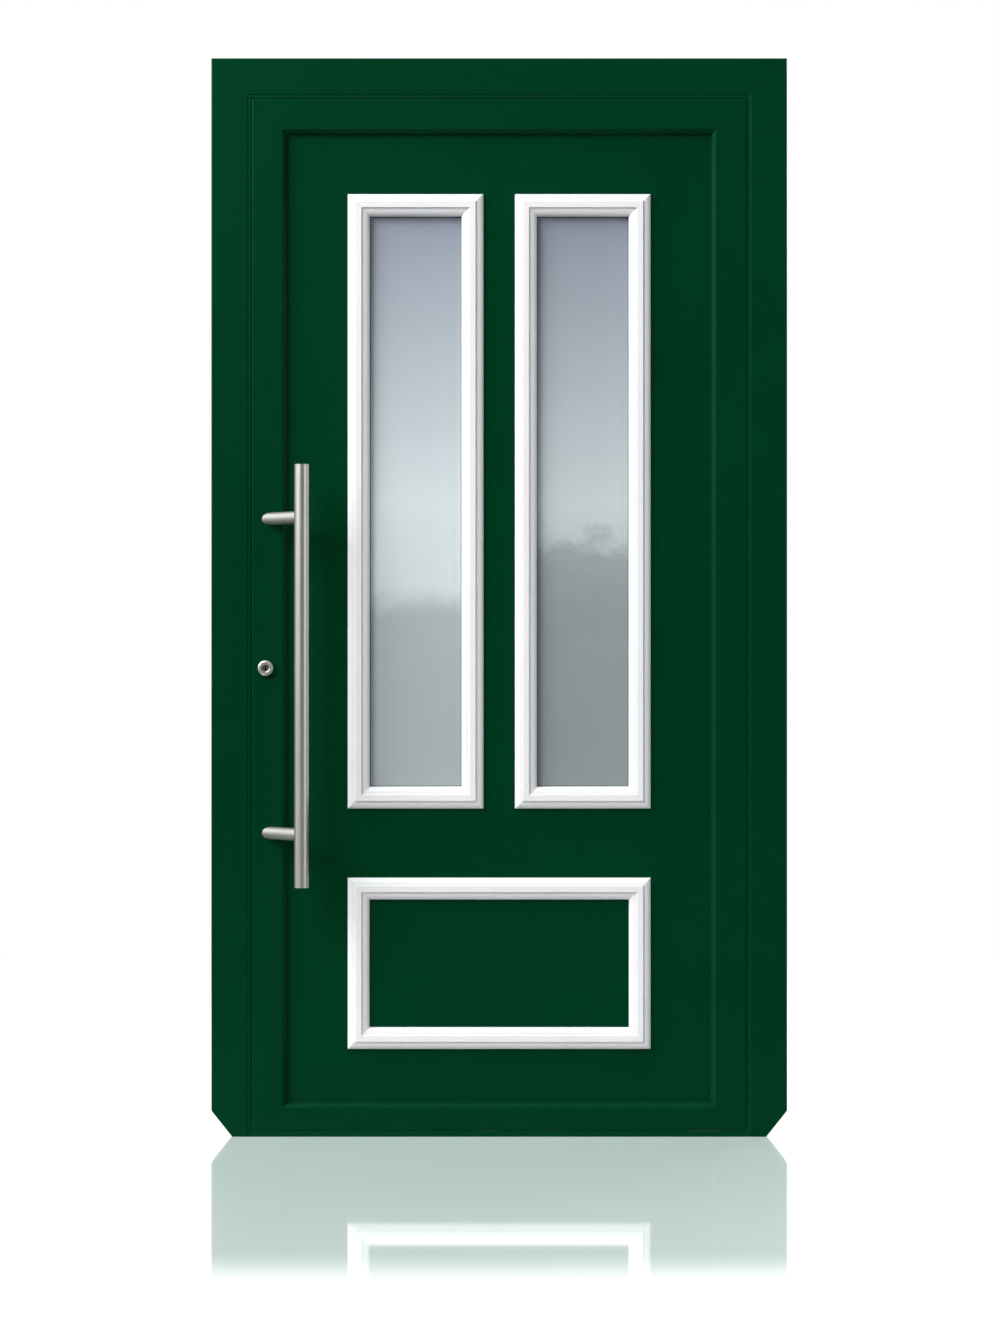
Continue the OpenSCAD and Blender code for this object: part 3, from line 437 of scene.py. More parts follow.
def brushed(name, tint, brush, rough, wear=0.0):
    """Brushed metal: long streaks across the scale that brush gives, in roughness, tone and height."""
    f = Finish(name)
    streak = f.at.stretched(brush).noise(1.0, 5.0, 0.7)
    cloud = f.at.noise(14.0, 4.0, 0.6)
    mark = (f.at.noise(45.0, 6.0, 0.7) - 0.58).clamp() * wear
    base = streak.ease(0.2, 0.8).tint(scaled(tint, 0.88), scaled(tint, 1.06))
    base = mark.clamp().tint(base, scaled(tint, 0.6))
    return f.shade({"Base Color": base, "Roughness": rough - 0.07 + streak * 0.14 + cloud * 0.05 + mark,
                    "Normal": streak.bump(0.012 * MM, 0.6)}, {"Metallic": 1.0})


def zinc_plate(look):
    """Zinc plate: blotches between bluish and yellowish grey under a fine roll grain."""
    f = Finish("zinc_plate")
    blotch = f.at.noise(35.0, 4.0, 0.6)
    roll = f.at.stretched((900.0, 900.0, 40.0)).noise(1.0, 3.0)
    warm = (look.zinc[0] * 1.02, look.zinc[1] * 0.98, look.zinc[2] * 0.88)
    return f.shade({"Base Color": blotch.ease(0.35, 0.65).tint(look.zinc, warm),
                    "Roughness": 0.3 + blotch * 0.15 + roll * 0.06,
                    "Normal": roll.bump(0.01 * MM, 0.5)}, {"Metallic": 1.0})


def nickel_plate(look):
    """Nickel plate with turning rings about the cylinder's axis and painted shade in its keyway. The rings
    are noise over the distance from that axis."""
    f = Finish("nickel_plate")
    away = f.at.measure("DISTANCE", f.at.stretched((1.0, 0.0, 1.0)), (CYL_X, 0.0, CYL_Z))
    ring = f.at.node("ShaderNodeTexNoise", {"noise_dimensions": "1D"}, {"W": away, "Scale": 2600.0})
    half_wide = 1.25 * MM
    high = CYL_Z + 4.2 * MM
    low = CYL_Z - 5.2 * MM
    # painted shade where the keyway lies in the plug
    slot_shade = (abs(f.x - CYL_X) < half_wide) * (f.z < high) * (f.z > low)
    base = ring.tint(scaled(look.nickel, 0.85), look.nickel)
    base = (slot_shade * 0.9).tint(base, KEYWAY_SHADE)
    return f.shade({"Base Color": base, "Roughness": 0.22 + ring * 0.14 + slot_shade * 0.4,
                    "Normal": ring.bump(0.008 * MM, 0.5)}, {"Metallic": 1.0})


def black_rubber(look):
    """Matt rubber with a soft bloom and a fine extruded grain."""
    f = Finish("black_rubber")
    bloom = f.at.noise(40.0, 4.0, 0.6)
    grain = f.at.noise(RUBBER_GRAIN)
    return f.shade({"Base Color": bloom.ease(0.4, 0.9).tint(look.rubber, scaled(look.rubber, 2.6)),
                    "Roughness": 0.62 + bloom * 0.2, "Normal": grain.bump(0.03 * MM, 0.5)},
                   {"Specular IOR Level": 0.3})


def green_rubber(look):
    """Seal in the tone of the coat: satin, with a fine extruded grain and a faint bloom."""
    f = Finish("green_rubber")
    bloom = f.at.noise(40.0, 4.0, 0.6)
    grain = f.at.noise(RUBBER_GRAIN)
    base = bloom.ease(0.3, 0.8).tint(scaled(look.green_rubber, 0.9), look.green_rubber)
    return f.shade({"Base Color": base, "Roughness": 0.45 + bloom * 0.12,
                    "Normal": grain.bump(0.02 * MM, 0.4)}, COAT_GLOSS)


def black_plastic(look):
    """Moulded plastic with a spark-eroded grain."""
    f = Finish("black_plastic")
    grain = f.at.node("ShaderNodeTexVoronoi", {"feature": "F1"}, {"Vector": f.at, "Scale": 900.0})
    tone = f.at.noise(30.0, 3.0)
    return f.shade({"Base Color": tone.tint(look.plastic, scaled(look.plastic, 1.8)),
                    "Roughness": 0.45 + tone * 0.15, "Normal": grain.bump(0.05 * MM, 0.5)}, {})


def core_foam(look):
    """Cellular core: small cells with darker walls."""
    f = Finish("core_foam")
    cell = f.at.node("ShaderNodeTexVoronoi", {"feature": "DISTANCE_TO_EDGE"},
                     {"Vector": f.at, "Scale": 700.0})
    wall = 1.0 - cell.ease(0.0, 0.12)
    base = (wall * 0.35).tint(look.foam, scaled(look.foam, 0.6))
    return f.shade({"Base Color": base, "Roughness": 0.85 + wall * 0.1,
                    "Normal": cell.bump(0.3 * MM, 0.6)}, {})


def raw_aluminium(look):
    """Mill finish with long extrusion lines."""
    f = Finish("raw_aluminium")
    line = f.at.stretched((700.0, 700.0, 6.0)).noise(1.0, 4.0, 0.65)
    base = line.tint(scaled(look.aluminium, 0.82), look.aluminium)
    return f.shade({"Base Color": base, "Roughness": 0.34 + line * 0.16,
                    "Normal": line.bump(0.015 * MM, 0.6)}, {"Metallic": 1.0})


def spacer_bar(look):
    """Grey spacer of the sealed glazing with a row of tiny breather slots along it, painted dark as the
    shade in them.
    """
    f = Finish("glazing_spacer")
    pitch = 2.5 * MM
    half_long = 0.35 * MM
    half_wide = 0.5 * MM
    centre = (PANEL_FRONT + PANEL_BACK) / 2
    # painted shade in the breather slots
    step = f.at.maths("PINGPONG", f.z + f.x, pitch)
    slot_shade = (step < half_long) * (abs(f.y - centre) < half_wide)
    tone = f.at.noise(120.0, 3.0)
    grey = tone.tint(scaled(look.aluminium, 0.55), scaled(look.aluminium, 0.7))
    return f.shade({"Base Color": slot_shade.tint(grey, DIM), "Roughness": 0.38 + tone * 0.1},
                   {"Metallic": 1.0})


def satin_glass_with_painted_reflection(look):
    """Outer pane, satin on its inner side, with a painted reflection of sky and ground on it: a soft
    upright gradient, palest a little below the middle where the painted horizon lies, with faint painted
    cloud streaks where it is palest. The painted reflection on the right pane is a shade deeper."""
    f = Finish("satin_glass_with_painted_reflection")
    low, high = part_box("outer_panes")
    up = (f.z - low.z) / (high.z - low.z)
    right = f.x.ease(-0.01, 0.01)
    streak = f.at.stretched((5.0, 1.0, 24.0)).noise(1.0, 6.0, 0.62)
    drift = f.at.stretched((16.0, 1.0, 22.0)).noise(1.0, 5.0, 0.6)
    between = [a * 0.6 + b * 0.4 for a, b in zip(look.painted_reflection_mid, look.painted_reflection_high)]
    stops = [(0.34, look.painted_reflection_mid), (0.5, look.painted_reflection_mid), (0.68, between), (1.0, look.painted_reflection_high)]
    # painted reflection of the sky above the painted horizon and of the ground below it
    painted_sky_reflection = f.at.node("ShaderNodeValToRGB", {"stops": stops}, {0: up})
    painted_ground_reflection = up.ease(0.0, 0.4).tint(look.painted_reflection_low, scaled(look.painted_reflection_low, 1.06))
    # height of the painted horizon in the reflection: a little higher and more wavering on the right pane
    edge = 0.33 + right * 0.1 + (drift - 0.5) * (0.05 + right * 0.16)
    base = (up - edge).ease(-0.035, 0.03).tint(painted_ground_reflection, painted_sky_reflection)
    # faint painted cloud streaks in the reflection about the painted horizon, stronger on the right pane
    painted_cloud_streaks = up.ease(0.16, 0.3) * (1.0 - up.ease(0.42, 0.5)) * streak.ease(0.5, 0.66)
    base = (painted_cloud_streaks * (0.1 + right * 0.35)).tint(base, scaled(look.painted_reflection_low, 1.15))
    # painted reflection a shade deeper on the right pane, most of all low down
    painted_deeper_right = right * (0.46 - up.ease(0.3, 0.5) * 0.27)
    base = painted_deeper_right.tint(base, scaled(look.painted_reflection_high, 0.4))
    return f.shade({"Base Color": base, "Roughness": 0.1 + streak * 0.05,
                    "Alpha": look.glass_cover - 0.04 + streak * 0.06,
                    "Normal": f.at.noise(RIPPLE).bump(0.06 * MM, 0.15)}, {"Specular IOR Level": 0.5})


def clear_glass():
    """Inner pane: clear, with a faint green tint towards its cut edges."""
    f = Finish("clear_glass")
    centre = middle("inner_panes").z
    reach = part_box("inner_panes")[1].z - centre
    rim_width = 12 * MM
    rim = abs(f.z - centre).ease(reach - rim_width, reach)
    ripple = f.at.noise(RIPPLE)
    return f.shade({"Base Color": rim.tint(CLEAR_FACE, CLEAR_EDGE),
                    "Roughness": 0.03 + ripple * 0.02, "Alpha": 0.2 + rim * 0.5,
                    "Normal": ripple.bump(0.05 * MM, 0.15)}, {"Specular IOR Level": 0.5})


class Palette:
    """Makes each material on first use and hands out the same one afterwards."""

    def __init__(self, look):
        self.made = {}
        self.makers = {
            "profile": lambda: green_coat("green_coat_profiles", look, True),
            "skin": lambda: green_coat("green_coat_panel", look, False),
            "hinge": lambda: green_coat("green_coat_hinges", look, False),
            "threshold": lambda: trodden_coat(look),
            "white": lambda: white_moulding(look),
            "bar": lambda: brushed("brushed_steel_upright", look.steel, (900.0, 900.0, 7.0), 0.39),
            "lever": lambda: brushed("brushed_steel_level", look.steel, (7.0, 900.0, 900.0), 0.38),
            "turned": lambda: brushed("brushed_steel_turned", look.steel, (520.0, 90.0, 520.0), 0.42),
            "bolt": lambda: brushed("bright_bolt_steel", look.steel, (500.0, 500.0, 500.0), 0.24, 1.5),
            "screw": lambda: brushed("screw_steel", look.steel, (700.0, 700.0, 700.0), 0.26, 1.0),
            "zinc": lambda: zinc_plate(look),
            "nickel": lambda: nickel_plate(look),
            "rubber": lambda: black_rubber(look),
            "green_rubber": lambda: green_rubber(look),
            "plastic": lambda: black_plastic(look),
            "foam": lambda: core_foam(look),
            "aluminium": lambda: raw_aluminium(look),
            "spacer": lambda: spacer_bar(look),
            "satin": lambda: satin_glass_with_painted_reflection(look),
            "clear": clear_glass,
        }

    def __getitem__(self, key):
        if key not in self.made:
            self.made[key] = self.makers[key]()
        return self.made[key]


palettes = {}


def palette(context):
    """The scene's palette, made from its finishes."""
    key = context.scene.name
    if key not in palettes:
        palettes[key] = Palette(context.scene.door_finishes)
    return palettes[key]


# Surfaces

def stacked(x, y, z):
    """Points from their three coordinates, each a number or an array."""
    return np.stack(np.broadcast_arrays(x, y, z), -1).astype(float)


def surface(name, points, closed):
    """Mesh of one or more grids, points[i, j] or points[copy, i, j]. Quads join neighbours in i and j, and
    j is a closed ring. A closed surface joins the last ring to the first; on an open one, one face closes
    each end."""
    points = points.reshape(-1, *points.shape[-3:])
    copies, nu, nv, _ = points.shape
    index = np.arange(copies * nu * nv).reshape(copies, nu, nv)
    rows = np.concatenate([index, index[:, :1]], 1) if closed else index
    ring = np.concatenate([rows, rows[:, :, :1]], 2)
    quads = np.stack([ring[:, :-1, :-1], ring[:, 1:, :-1], ring[:, 1:, 1:], ring[:, :-1, 1:]], -1)
    faces = quads.reshape(-1, 4).tolist()
    if not closed:
        faces += index[:, 0].tolist() + index[:, -1].tolist()
    mesh = bpy.data.meshes.new(name)
    mesh.from_pydata(points.reshape(-1, 3), [], faces)
    whole = bmesh.new()
    whole.from_mesh(mesh)
    bmesh.ops.recalc_face_normals(whole, faces=whole.faces)
    whole.to_mesh(mesh)
    whole.free()
    mesh.polygons.foreach_set("use_smooth", np.ones(len(mesh.polygons), bool))
    mesh.set_sharp_from_angle(angle=CRISP)
    if mesh.validate():
        raise RuntimeError(f"{name} came out with broken faces")
    return mesh


def place(name, mesh, body, material, stands_for=()):
    """Links a finished mesh as a piece that rides on a body."""
    piece = bpy.data.objects.new(name, mesh)
    bpy.context.scene.collection.objects.link(piece)
    mesh.materials.append(material)
    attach(piece, body)
    if stands_for:
        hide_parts(*stands_for)


def around(profile, half_x, middle_x, low, high):
    """A section carried round an upright rectangle with mitred corners. Its points are (a, y): a is the
    distance in from the rectangle, so corner k lies at middle_x + sx (half_x - a) and at low + a or
    high - a."""
    a, y = profile.T
    sx = np.array([-1.0, 1.0, 1.0, -1.0])[:, None]
    up = np.array([0.0, 0.0, 1.0, 1.0])[:, None]
    return stacked(middle_x + sx * (half_x - a), y, (1 - up) * (low + a) + up * (high - a))


def over(profile, half_x, low, high):
    """A section carried up one side, across the top and down the other. Its points are (a, y), a being
    the distance in from the sides and the top; both feet end level at low."""
    a, y = profile.T
    sx = np.array([-1.0, -1.0, 1.0, 1.0])[:, None]
    up = np.array([0.0, 1.0, 1.0, 0.0])[:, None]
    return stacked(sx * (half_x - a), y, (1 - up) * low + up * (high - a))


def along(section, low, high):
    """A section of points (y, z) carried straight along x from low to high."""
    y, z = section.T
    return stacked(np.array([low, high])[:, None], y, z)


def cross_recess(arm, width):
    """Angles and radii of a cross: L / cos(t) on an arm's end and w / sin(t) on its sides, with t the
    angle to the nearest arm."""
    edge = math.atan2(width, arm)
    t = np.array([-math.pi / 4, -0.55, -edge, 0.0, edge, 0.55])
    tiny = 1e-9
    side = width / np.maximum(np.sin(abs(t)), tiny)
    radius = np.where(abs(t) <= edge + tiny, arm / np.cos(t), side)
    angle = (t + np.arange(4)[:, None] * math.pi / 2).ravel()
    return angle, np.tile(radius, 4)


def hex_recess(flat):
    """Angles and radii of a hexagon: half its width over cos(t), with t the angle to the nearest flat."""
    t = np.array([-math.pi / 6, -math.pi / 12, 0.0, math.pi / 12])
    angle = (t + np.arange(6)[:, None] * math.pi / 3).ravel()
    return angle, np.tile(flat / np.cos(t), 6)


def screw_heads(name, centres, normal, radius, recess, proud):
    """Countersunk heads: rings about each centre, from the recess floor up its walls, out over a slightly
    crowned top, round the rim and down the cone into the plate. A ring is (share of recess radius, share
    of head radius, height)."""
    if recess == "cross":
        angle, hole = cross_recess(0.6 * radius, 0.15 * radius)
    else:
        angle, hole = hex_recess(0.42 * radius)
    deep = 0.45 * radius
    rings = np.array([[0.85, 0.0, proud - deep], [0.94, 0.0, proud - 0.1 * radius], [1.0, 0.0, proud],
                      [0.0, 0.80, proud], [0.0, 0.94, proud * 0.75], [0.0, 1.0, proud * 0.2],
                      [0.0, 0.97, -0.12 * radius], [0.0, 0.55, -0.6 * radius]])
    r = rings[:, :1] * hole + rings[:, 1:2] * radius
    n = np.array(normal, float)
    side = np.cross(n, [0.0, 0.0, 1.0] if abs(n[2]) < 0.5 else [1.0, 0.0, 0.0])
    side /= np.linalg.norm(side)
    third = np.cross(n, side)
    turn = 0.35 + 1.9 * np.arange(len(centres))[:, None, None]
    c, s = np.cos(angle + turn), np.sin(angle + turn)
    points = (centres[:, None, None] + (r * c)[..., None] * side + (r * s)[..., None] * third
              + rings[:, 2][:, None, None] * n)
    return surface(name, points, False)


def add_screws(context, name, body, centres, normal, radius, recess, proud):
    """One group of steel screws with their heads at the centres, facing along normal."""
    heads = screw_heads(name, centres, normal, radius, recess, proud)
    place(name, heads, body, palette(context)["screw"])


# Operators

class DOOR_OT_finish_nodes(bpy.types.Operator):
    """Give every solid of the door its material"""

    bl_idname = "door.finish_nodes"
    bl_label = "Finish the solids"

    def execute(self, context):
        shades = palette(context)
        groups = {
            "profile": PROFILES,
            "skin": SKINS,
            "threshold": ("threshold",),
            "white": MOULDINGS,
            "bar": BARS,
            "lever": ("lever_handle",),
            "turned": POSTS + ("outer_rosette",),
            "bolt": ("latch", "deadbolt", "end_bolts"),
            "zinc": ("lock_case", "end_lock_boxes", "drive_rod", "lever_spindle", "pull_bolts"),
            "nickel": ("cylinder_body", "key_plugs", "cylinder_cam"),
            "hinge": [f"hinge_{side}_{h}" for side in HINGE_INSETS for h in HINGES] + ["hinge_pins"],
            "rubber": ("stop_gasket", "outer_glazing_gasket", "inner_glazing_gasket", "bottom_seal"),
            "plastic": ("jamb_foot_plugs", "setting_blocks"),
            "foam": ("panel_core",),
            "aluminium": ("frame_corner_cleats", "sash_corner_cleats"),
            "spacer": ("glass_spacers",),
            "satin": ("outer_panes",),
            "clear": ("inner_panes",),
        }
        done = {n for names in groups.values() for n in names}
        if done != set(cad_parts):
            raise RuntimeError(f"no finish for {sorted(set(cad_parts) ^ done)}")
        for key, names in groups.items():
            for name in names:
                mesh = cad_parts[name].data
                mesh.materials.clear()
                mesh.materials.append(shades[key])
        return {"FINISHED"}


class DOOR_OT_glazing_lips(bpy.types.Operator):
    """Add the rubber lips between the panel and the profiles that hold it"""

    bl_idname = "door.glazing_lips"
    bl_label = "Glazing lips"

    def execute(self, context):
        lip = context.scene.door_details.lip
        rubber = palette(context)["green_rubber"]
        root = -3.0 * MM
        bulge = np.array([[root, 0.0], [lip, 0.0], [lip * 0.95, 1.0 * MM], [lip * 0.6, 1.8 * MM],
                          [0.1 * MM, 2.4 * MM], [root, 2.8 * MM]])
        for side, face, sign in (("outer", PANEL_FRONT, -1), ("inner", PANEL_BACK, 1)):
            name = f"{side}_glazing_lip"
            profile = bulge * [1, sign] + [0, face]
            points = around(profile, PANEL_X, 0.0, PANEL_LOW, PANEL_HIGH)
            place(name, surface(name, points, True), "leaf", rubber)
        return {"FINISHED"}


class DOOR_OT_glass_seals(bpy.types.Operator):
    """Add the seal where each moulding frame meets the glass, on both sides"""

    bl_idname = "door.glass_seals"
    bl_label = "Glass seals"

    def execute(self, context):
        seal = context.scene.door_details.seal
        rubber = palette(context)["rubber"]
        faces = (("outer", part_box("outer_panes")[0].y, -1), ("inner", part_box("inner_panes")[1].y, 1))
        root = -1.2 * MM
        turn = np.linspace(0, math.pi / 2, 6)
        fillet = np.stack([seal * (1 - np.sin(turn)), seal * (1 - np.cos(turn))], -1)
        bulge = np.concatenate([[[root, 0.0]], fillet, [[root, seal]]])
        for half in ("left", "right"):
            for side, face, sign in faces:
                node = f"{half}_{side}_moulding"
                name = f"{half}_{side}_glass_seal"
                low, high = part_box(node)
                centre = middle(node).x
                profile = bulge * [1, sign] + [0, face]
                points = around(profile, high.x - centre - MOULDING_W, centre,
                                low.z + MOULDING_W, high.z - MOULDING_W)
                place(name, surface(name, points, True), "leaf", rubber)
        return {"FINISHED"}


class DOOR_OT_draught_seals(bpy.types.Operator):
    """Shape the bulb seal round the frame and the finned seal under the leaf"""

    bl_idname = "door.draught_seals"
    bl_label = "Draught seals"

    def execute(self, context):
        rubber = palette(context)["rubber"]
        self.bulb_seal(rubber)
        self.finned_seal(rubber)
        return {"FINISHED"}

    def bulb_seal(self, rubber):
        """A flat foot with part of an ellipse on it; the section is in shares of its width and depth."""
        low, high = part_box("stop_gasket")
        wide = 15.5 * MM
        t = np.linspace(0.06, math.pi - 0.06, 14)
        bulb = np.stack([0.49 + 0.29 * np.cos(t), 0.42 + 0.58 * np.sin(t)], -1)
        foot = [[0.0, 0.0], [0.985, 0.0], [1.0, 0.12], [0.93, 0.34]]
        heel = [[0.05, 0.36], [0.0, 0.2]]
        profile = np.concatenate([foot, bulb, heel]) * [wide, high.y - low.y] + [0, low.y]
        points = over(profile, high.x, low.z, high.z)
        place("bulb_seal", surface("bulb_seal", points, False), "frame", rubber,
              ("stop_gasket",))

    def finned_seal(self, rubber):
        """Three fins under a flat strip: the drop goes with |sin(3 pi s)| ^ 0.6 across the seal."""
        low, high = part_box("bottom_seal")
        s = np.linspace(0.0, 1.0, 49)
        drop = 0.35 + 0.65 * np.abs(np.sin(3 * math.pi * s)) ** 0.6
        edge = np.stack([low.y + (high.y - low.y) * s, high.z - (high.z - low.z) * drop], -1)
        section = np.concatenate([edge, [[high.y, high.z], [low.y, high.z]]])
        points = along(section, low.x, high.x)
        place("finned_seal", surface("finned_seal", points, False), "leaf", rubber,
              ("bottom_seal",))


class DOOR_OT_joint_seals(bpy.types.Operator):
    """Add the green seal in the joint round the leaf and the drip lip under the leaf's face"""

    bl_idname = "door.joint_seals"
    bl_label = "Joint seals"

    def execute(self, context):
        details = context.scene.door_details
        shades = palette(context)
        root = -0.4 * MM
        wide = 5.2 * MM
        deep = 4.0 * MM
        profile = np.array([[root, 0.0], [0.86 * wide, 0.0], [0.97 * wide, 0.25 * MM], [wide, 0.8 * MM],
                            [0.97 * wide, 3.2 * MM], [0.86 * wide, deep], [root, deep]])
        points = over(profile + [0, FRONT + details.joint_set], OPENING_X, SILL, OPENING_TOP)
        place("joint_seal", surface("joint_seal", points, False), "frame", shades["green_rubber"])

        side_gap = 6.5 * MM
        low = SILL + 0.8 * MM
        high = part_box("sash_bottom_rail")[0].z + 0.2 * MM
        front = 0.15 * MM
        section = np.array([[front, high], [front, low + 0.5 * MM], [0.45 * MM, low + 0.1 * MM],
                            [0.8 * MM, low], [details.drip, low], [details.drip, high]]) + [FRONT, 0]
        points = along(section, side_gap - OPENING_X, OPENING_X - side_gap)
        place("drip_lip", surface("drip_lip", points, False), "leaf", shades["profile"])
        return {"FINISHED"}


class DOOR_OT_hinge_screws(bpy.types.Operator):
    """Add the screws of the hinge plates and the sockets of the hinge pins"""

    bl_idname = "door.hinge_screws"
    bl_label = "Hinge screws"

    def execute(self, context):
        radius = context.scene.door_details.hinge_screw
        for part, inset in HINGE_INSETS.items():
            heights = np.array([middle(f"hinge_{part}_{h}").z for h in HINGES])
            z = (heights[:, None] + HINGE_ROWS).ravel()
            centres = stacked(HALF_W - inset, BACK + HINGE_PLATE, z)
            add_screws(context, f"hinge_{part}_screws", part, centres, (0, 1, 0), radius, "cross", RAISED)
        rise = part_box("hinge_pins")[1].z - middle("hinge_frame_top").z
        tops = np.array([middle(f"hinge_frame_{h}").z for h in HINGES]) + rise
        centres = stacked(middle("hinge_pins").x, middle("hinge_pins").y, tops)
        add_screws(context, "hinge_pin_sockets", "frame", centres, (0, 0, 1), 0.9 * radius, "hex", FLUSH)
        return {"FINISHED"}


class DOOR_OT_lock_screws(bpy.types.Operator):
    """Add the screws of faceplate, strikes, backplate, threshold and pull posts"""

    bl_idname = "door.lock_screws"
    bl_label = "Lock screws"

    def execute(self, context):
        details = context.scene.door_details
        radius = details.plate_screw
        centres = stacked(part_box("lock_faceplate")[0].x, LOCK_Y, FACEPLATE_ROWS)
        add_screws(context, "faceplate_screws", "leaf", centres, (-1, 0, 0), radius, "cross", FLUSH)

        low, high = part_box("main_strike")
        bottom, top = (corner.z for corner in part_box("end_strikes"))
        far = END_STRIKE - STRIKE_INSET
        z = [low.z + STRIKE_INSET, middle("main_strike").z, high.z - STRIKE_INSET,
             bottom + STRIKE_INSET, bottom + far, top - far, top - STRIKE_INSET]
        centres = stacked(high.x, LOCK_Y, z)
        add_screws(context, "strike_screws", "frame", centres, (1, 0, 0), radius, "cross", FLUSH)

        low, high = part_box("inner_backplate")
        z = [low.z + BACKPLATE_LOW_INSET, high.z - BACKPLATE_HIGH_INSET]
        centres = stacked(CYL_X, high.y, z)
        add_screws(context, "backplate_screws", "leaf", centres, (0, 1, 0), 0.9 * radius, "cross", RAISED)

        centres = stacked(THRESHOLD_ROWS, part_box("threshold")[0].y + THRESHOLD_INSET, SILL)
        radius = details.hinge_screw
        add_screws(context, "threshold_screws", "frame", centres, (0, 0, 1), radius, "cross", FLUSH)

        share = 0.62
        foot = np.array([POST_FOOT, FRONT])
        spot = foot + share * (np.array(middle("pull_bar").xy) - foot)
        centres = stacked(*spot, [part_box(post)[0].z for post in POSTS])
        radius = details.grub_screw
        add_screws(context, "pull_post_grub_screws", "leaf", centres, (0, 0, -1), radius, "hex", SUNK)
        return {"FINISHED"}


class DOOR_OT_post_washers(bpy.types.Operator):
    """Add the black washers under the slanted feet of the pull posts"""

    bl_idname = "door.post_washers"
    bl_label = "Post washers"

    def execute(self, context):
        rubber = palette(context)["rubber"]
        low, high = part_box(POSTS[0])
        radius = (high.z - low.z) / 2
        heights = np.array([middle(post).z for post in POSTS])[:, None, None]
        # Ellipses round each foot, which is cut at 45 degrees; grow and rise give a washer's section
        t = np.linspace(0.0, 2 * math.pi, 64, endpoint=False)[:, None]
        grow = np.array([-0.4, 0.9, 0.9, 0.5, -0.4]) * MM
        rise = np.array([0.0, 0.0, 0.6, 1.0, 1.0]) * context.scene.door_details.washer
        x = POST_FOOT + (math.sqrt(2) * radius + grow) * np.cos(t)
        z = heights + (radius + grow) * np.sin(t)
        mesh = surface("post_washers", stacked(x, FRONT - rise, z), True)
        place("post_washers", mesh, "leaf", rubber)
        return {"FINISHED"}


